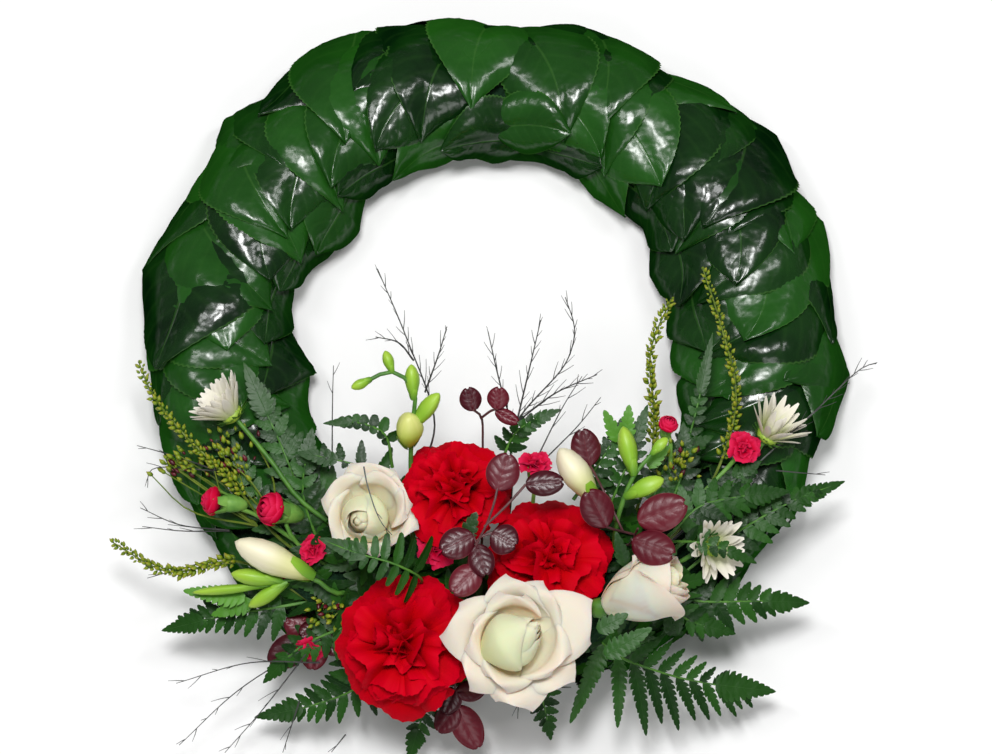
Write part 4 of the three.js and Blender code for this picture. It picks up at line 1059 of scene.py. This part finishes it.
redSprigs = [  # each leaf has its foot, tip and half width
    {
        "stems": [
            [polar(267, 134, 52), (-6, -112, 55), (-5, -80, 58), (-5, -50, 70), (-6, -38, 98),
             (-10, -36, 106)],
            [(-6, -39, 96), (0, -36, 104), (3, -36, 108)],
        ],
        "leaves": [((-9.6, -36.4, 105), (-13, -25, 110), 6), ((2.6, -36, 107.4), (4, -25, 112), 6),
                   ((2, -36.5, 106), (14, -43, 108), 4)],
    },
    {
        "stems": [
            [polar(265, 143, 50), (-12, -118, 74), (-12, -115, 98), (-2, -96, 108), (2, -84, 111),
             (3, -79, 111)],
            [(-4, -99, 107), (8, -88, 111), (18, -77, 112)], [(-8, -108, 103), (-10, -103, 104)],
            [(-6, -104, 105), (0, -102, 105)], [(-11, -116, 98), (-7, -120, 102)],
        ],
        "leaves": [((2.7, -80, 111), (9, -61, 115), 9), ((18, -77, 112.4), (38, -76, 115), 7),
                   ((-10, -103, 104), (-27, -112, 107), 8.5), ((0, -102, 105), (13, -109, 107), 8.5),
                   ((-8, -108, 103), (-3, -125, 107), 7), ((-7, -120, 102), (-21, -134, 104), 8)],
    },
    {
        "stems": [
            [polar(300, 126, 50), (74, -104, 70), (78, -98, 92)],
            [(76, -100, 84), (66, -99, 94), (61, -98, 99)], [(75, -102, 78), (75, -105, 98)],
            [(70, -99, 90), (56, -70, 92), (52.6, -64, 92)],
        ],
        "leaves": [((78, -95, 98), (103, -86, 106), 10), ((75, -105, 98), (96, -114, 107), 9.5),
                   ((61, -98, 99), (51, -80, 108), 9), ((52.6, -64, 92), (48, -45, 97), 8)],
    },
    {
        "stems": [[polar(241, 158, 49), (-92, -149, 50), (-102, -154, 50)],
                  [(-92, -149, 50), (-104, -146, 50)]],
        "leaves": [((-101, -153.6, 50), (-122, -166, 46), 9), ((-99, -149, 50.2), (-113, -143, 50), 7),
                   ((-96, -151.2, 50.4), (-98, -170, 46), 8), ((-90, -148, 52), (-84, -162, 54), 7),
                   ((-94, -147, 53), (-104, -152, 56), 6)],
    },
    {
        "stems": [[polar(263, 158, 52), (-20, -180, 50), (-19, -192, 44)]],
        "leaves": [((-19, -190, 45), (-30, -203, 40), 7), ((-19, -190, 44.6), (-7, -212, 34), 8.5),
                   ((-20, -180, 50), (-26, -194, 46), 6.5), ((-19, -182, 50), (-3, -180, 44), 6)],
    },
]


def roundLeaf(piece, base, tip, halfWidth, tint):
    base, tip = np.array(base, float), np.array(tip, float)
    ahead = unit(tip - base)
    length = np.linalg.norm(tip - base)
    aside = unit(np.cross((0, 0, 1), ahead))
    normal = np.cross(ahead, aside)
    u, v = grids(23, 13)
    width = halfWidth * np.maximum(np.sin(math.pi * (0.02 + 0.97 * u) ** 0.95) ** 0.5, 0.03)
    lift = 0.5 * puckers(u, v, redVeins, redSlant, keel=5) - 2.5 * v**2 + 1.2 * abs(v) - 0.8 * u**2
    along = length * (u - 0.05 * (1 - abs(v)) * (u > 0.97))
    grid = base + along[..., None] * ahead + (v * width)[..., None] * aside + lift[..., None] * normal
    piece.sheet(grid, placed(u, v, tint), 0.6)


def makeRedSprigs():
    for number, one in enumerate(redSprigs, 1):
        rng = np.random.default_rng(90 + number)
        piece = Piece(f"burgundy_sprig_{number}", redLeaf, redStem)
        for base, tip, halfWidth in one["leaves"]:
            roundLeaf(piece, base, tip, halfWidth, rng.uniform())
        for path in one["stems"]:
            piece.tube(path, 0.7, kind=1)
        piece.build("red_leaf", f"red_leaf_sprig_{number}")


makeRedSprigs()
print("burgundy sprigs made")


budSpikes = {
    "buds": 120, "size": 3.9, "from": 0.4, "steps": 201,  # from is the share of the stem that is bare
    "bud": [(0, 0), (0.16, 0.1), (0.3, 0.35), (0.27, 0.65), (0.13, 0.88), (0, 1.1)],
    # loose clusters low among the leaves, each with its middle, spread, number of buds and the stem's foot
    "clusters": [
        ((-170, -60, 58), (13, 8, 4), 60, (-128, -92, 56)),
        ((-142, -54, 62), (13, 13, 4), 70, (-118, -90, 58)),
        ((-88, -138, 60), (12, 8, 4), 50, (-84, -128, 52)),
        ((100, -60, 76), (9, 9, 4), 40, (96, -80, 60)),
    ],
    "paths": [
        [polar(235, 154, 51), (-118, -97, 56), (-143, -67, 62), (-168, -43, 66), (-186, -20, 64),
         (-194, -2, 60)],
        [polar(236, 172, 54), (-137, -112, 58), (-176, -117, 56), (-208, -100, 50)],
        [polar(305, 147, 50), (116, -76, 59), (133, -26, 70), (124, 17, 80), (115, 45, 84)],
        [polar(305, 128, 48), (86, -62, 66), (88, -34, 74), (86, 0, 87), (97, 27, 92)],
    ],
}

def makeBudSpikes():
    steps, bare = budSpikes["steps"], budSpikes["from"]
    for number, path in enumerate(budSpikes["paths"], 1):
        rng = np.random.default_rng(100 + number)
        piece = Piece(f"bud_spray_{number}", oliveBud, oliveStem)
        curve = smoothPath(path, steps)
        tangents = unit(np.gradient(curve, axis=0))
        piece.tube(path, (1.0, 0.4), kind=1, steps=30)
        for i in range(budSpikes["buds"]):
            share = bare + (1 - bare) * i / (budSpikes["buds"] - 1)
            at = int(share * (steps - 1))
            turn = goldenTurn * i + rng.uniform(-0.3, 0.3)
            outward = spun(1.0, 0.0, 0.0, turn) @ axesFor(tangents[at])
            size = budSpikes["size"] * (1.2 - 0.5 * share) * rng.uniform(0.6, 1.3)
            lean = unit(tangents[at] + outward * rng.uniform(0.5, 1.8))
            base = curve[at] + outward * rng.uniform(0.3, 1.6)
            piece.turned(scaled(budSpikes["bud"], size), base, lean, segments=8, tint=rng.uniform())
        piece.build("bud_spike", f"bud_spike_{number}")


def makeBudClusters():
    rng = np.random.default_rng(105)
    for number, (middle, spread, count, foot) in enumerate(budSpikes["clusters"], 1):
        piece = Piece(f"bud_cluster_{number}", oliveBud, oliveStem, redLeaf)
        for i in range(count):
            at = np.array(middle) + np.array(spread) * np.clip(rng.normal(size=3) * 0.55, -1.2, 1.2)
            lean = unit(at - foot + 8 * rng.normal(size=3))
            size = budSpikes["size"] * rng.uniform(0.6, 1.2)
            kind = 2 if rng.uniform() < 0.22 else 0  # a few buds have turned burgundy
            piece.turned(scaled(budSpikes["bud"], size), at, lean, segments=8, kind=kind, tint=rng.uniform())
            if i % 9 == 0:
                bend = (at + foot) / 2 + 4 * rng.normal(size=3)
                piece.tube([foot, tuple(bend), tuple(at + lean)], (0.6, 0.3), sides=5, kind=1, steps=9)
        piece.build("bud_spike")


makeBudSpikes()
makeBudClusters()
print("bud sprays made")


twigs = {
    "spurGap": 3.6, "wispGap": 9.0, "spurLength": (4.0, 13.0), "spurAngle": 0.5, "steps": 101,
    "sprays": [  # the first path of each is its main stem, and the others branch off it
        [
            [polar(257, 129, 50), (-33, -100, 56), (-36, -62, 64), (-31, -38, 84), (-46, 4, 104),
             (-61, 38, 119)],
            [(-36, -24, 91), (-28, -4, 104), (-24, 8, 112)],
            [(-42, -8, 99), (-50, 0, 108), (-62, 2, 114)],
        ],
        [
            [polar(274, 130, 50), (8, -106, 56), (11, -70, 60), (12, -42, 84), (40, -10, 108), (44, 6, 116),
             (39, 22, 122)],
            [(12, -44, 82), (4, -20, 104), (-2, 4, 118)],
            [(13, -41, 85), (20, -14, 106), (26, 10, 120)],
            [(14, -39, 86.6), (34, -26, 100), (56, -18, 112)],
        ],
        [
            [polar(303, 148, 59), (132, -70, 59), (176, -30, 60), (204, -4, 54), (213, 0, 48)],
        ],
    ],
    "wisps": [
        [(-93, -167, 60), (-132, -166, 48), (-173, -176, 34)],
        [(-93, -154, 58), (-138, -180, 40), (-172, -209, 22)],
        [(-101, -162, 55), (-126, -191, 34), (-147, -213, 20)], [(-105, -186, 40), (-115, -213, 22)],
        [(-80, -204, 34), (-88, -213, 26)], [(-151, -62, 62), (-176, -53, 58), (-195, -47, 52)],
        [(-151, -62, 60), (-187, -61, 54), (-189, -70, 50)],
        [(-143, -95, 60), (-171, -91, 54), (-193, -81, 48)],
        [(-143, -95, 58), (-170, -94, 50), (-192, -91, 46)], [(-154, -111, 55), (-189, -119, 42)],
        [(155, -62, 60), (183, -63, 50)], [(15, -176, 60), (14, -196, 44)],
        [(-87, -60, 66), (-86, -30, 88), (-85, -11, 100)],
        [(24, -60, 88), (38, -34, 104), (48, -19, 112)], [(28, -61, 92), (46, -44, 102), (58, -30, 110)],
        [(-68, -67, 108), (-66, -77, 109), (-59, -96, 108), (-53, -103, 104)],
    ],
}


def twig(piece, path, rng, first, last, gap, bare):
    piece.tube(path, (first, last), sides=5, steps=6 * len(path))
    curve = smoothPath(path, twigs["steps"])
    tangents = unit(np.gradient(curve, axis=0))
    total = np.linalg.norm(np.diff(curve, axis=0), axis=1).sum()
    count = int(total * (1 - bare) / gap)
    for i in range(count):
        at = int((twigs["steps"] - 1) * (bare + (1 - bare) * (i + 0.5) / count))
        start, ahead = curve[at], tangents[at]
        outward = spun(1.0, 0.0, 0.0, 2.7 * i + rng.uniform(-0.5, 0.5)) @ axesFor(ahead)
        length = rng.uniform(*twigs["spurLength"]) * (1 - 0.4 * i / count)
        lean = unit(ahead + outward * math.tan(twigs["spurAngle"]))
        middle = start + lean * length * 0.5
        end = start + lean * length + ahead * length * 0.15
        middle[2], end[2] = min(middle[2], highest), min(end[2], highest)
        piece.tube([tuple(start), tuple(middle), tuple(end)], (0.26, 0.12), sides=4, steps=5)


def makeTwigs():
    for number, (stem, *branches) in enumerate(twigs["sprays"], 1):
        rng = np.random.default_rng(110 + number)
        piece = Piece(f"bare_twigs_{number}", twigDark)
        twig(piece, stem, rng, 0.8, 0.25, twigs["spurGap"], 0.55)
        for path in branches:
            twig(piece, path, rng, 0.6, 0.25, twigs["spurGap"], 0.1)
        piece.build("twig", f"twig_spray_{number}")
    rng = np.random.default_rng(119)
    piece = Piece("twig_wisps", twigDark)
    for path in twigs["wisps"]:
        twig(piece, path, rng, 0.45, 0.2, twigs["wispGap"], 0.3)
    piece.build("twig")


makeTwigs()
print("twigs made")


# Tray and foam keep their own shape.

def makeTrayFinish():
    finish = Finish("tray_plastic", specular=0.4)
    cloud = finish.noise(45.0, 3.0)
    grain = finish.noise(900.0, 2.0)
    shade = finish.mix(cloud, (0.008, 0.03, 0.012), (0.02, 0.06, 0.025))
    finish.feed(Base_Color=shade, Roughness=grain * 0.2 + 0.35)
    finish.bump(grain, 0.0003, 0.3)
    return finish


def makeFoamFinish():
    finish = Finish("floral_foam", specular=0.1)
    pores = finish.cells(700.0)
    cloud = finish.noise(60.0, 3.0)
    share = pores.between(0.1, 0.7) * 0.6 + cloud * 0.4
    shade = finish.mix(share, (0.004, 0.016, 0.006), (0.012, 0.04, 0.018))
    finish.feed(Base_Color=shade, Roughness=pores * 0.1 + 0.85)
    finish.bump(pores, 0.0008, 0.9)
    return finish


for names, finish in ((("ring_tray",), makeTrayFinish()), (("foam_ring", "spray_foam"), makeFoamFinish())):
    for name in names:
        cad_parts[name].material_slots[0].material = finish.material


# Floor, light and camera

studio = {
    # seenWidth is what the camera's frame takes in at the target
    "target": (2.2, -4.0, 25.0), "distance": 1800.0, "elevation": 80.0, "seenWidth": 555.5,
    "floor": 14.0, "floorDrop": 0.6,  # the floor's size in metres, and how far it lies under the tray
    "lamps": [  # place and aim in millimetres, size in metres, power in watts
        {"name": "top_panel", "at": (-80, 180, 1600), "aim": (0, 0, 0), "size": (0.36, 0.36), "power": 17},
        {"name": "left_panel", "at": (-750, 350, 1500), "aim": (0, 0, 0), "size": (0.16, 0.6), "power": 5},
        {"name": "right_panel", "at": (700, 450, 1500), "aim": (0, 0, 0), "size": (0.16, 0.6), "power": 5},
        {"name": "front_fill", "at": (350, -1500, 1600), "aim": (0, -50, 0), "size": (1.2, 0.8), "power": 10},
    ],
    "sky": 0.12,
}


def atPlace(point):
    return Vector(origin + np.array(point, float) * mm)


def lookAlong(holder, place, ahead):
    holder.location = place
    holder.rotation_mode = "QUATERNION"
    holder.rotation_quaternion = ahead.to_track_quat("-Z", "Y")
    bpy.context.scene.collection.objects.link(holder)


def makeFloor():
    half = studio["floor"] / 2
    corners = [(-half, -half), (half, -half), (half, half), (-half, half)]
    mesh = bpy.data.meshes.new("floor")
    mesh.from_pydata([(x, y, -studio["floorDrop"] * mm) for x, y in corners], [], [(0, 1, 2, 3)])
    floor = bpy.data.objects.new("floor", mesh)
    bpy.context.scene.collection.objects.link(floor)
    finish = Finish("floor_card", specular=0.2)
    cloud = finish.noise(6.0, 2.0)
    shade = finish.mix(cloud, (0.91, 0.91, 0.91), (0.94, 0.94, 0.94))
    finish.feed(Base_Color=shade, Roughness=cloud * 0.1 + 0.75)
    mesh.materials.append(finish.material)


def makeLights():
    world = bpy.data.worlds.new("studio")
    world.use_nodes = True
    sky = world.node_tree.nodes["Background"]
    sky.inputs["Color"].default_value = (1.0, 1.0, 1.0, 1.0)
    sky.inputs["Strength"].default_value = studio["sky"]
    bpy.context.scene.world = world
    for lamp in studio["lamps"]:
        light = bpy.data.lights.new(lamp["name"], "AREA")
        light.shape = "RECTANGLE"
        light.size, light.size_y = lamp["size"]
        light.energy = lamp["power"]
        place = atPlace(lamp["at"])
        lookAlong(bpy.data.objects.new(lamp["name"], light), place, atPlace(lamp["aim"]) - place)


def makeCamera():
    lens = bpy.data.cameras.new("camera")
    lens.sensor_width = 36.0
    lens.lens = lens.sensor_width * studio["distance"] / studio["seenWidth"]
    angle = math.radians(studio["elevation"])
    back = Vector((0, -math.cos(angle), math.sin(angle)))
    camera = bpy.data.objects.new("camera", lens)
    lookAlong(camera, atPlace(studio["target"]) + back * studio["distance"] * mm, -back)
    bpy.context.scene.camera = camera


makeFloor()
makeLights()
makeCamera()
bpy.context.scene.view_settings.view_transform = "Standard"
print("studio set")
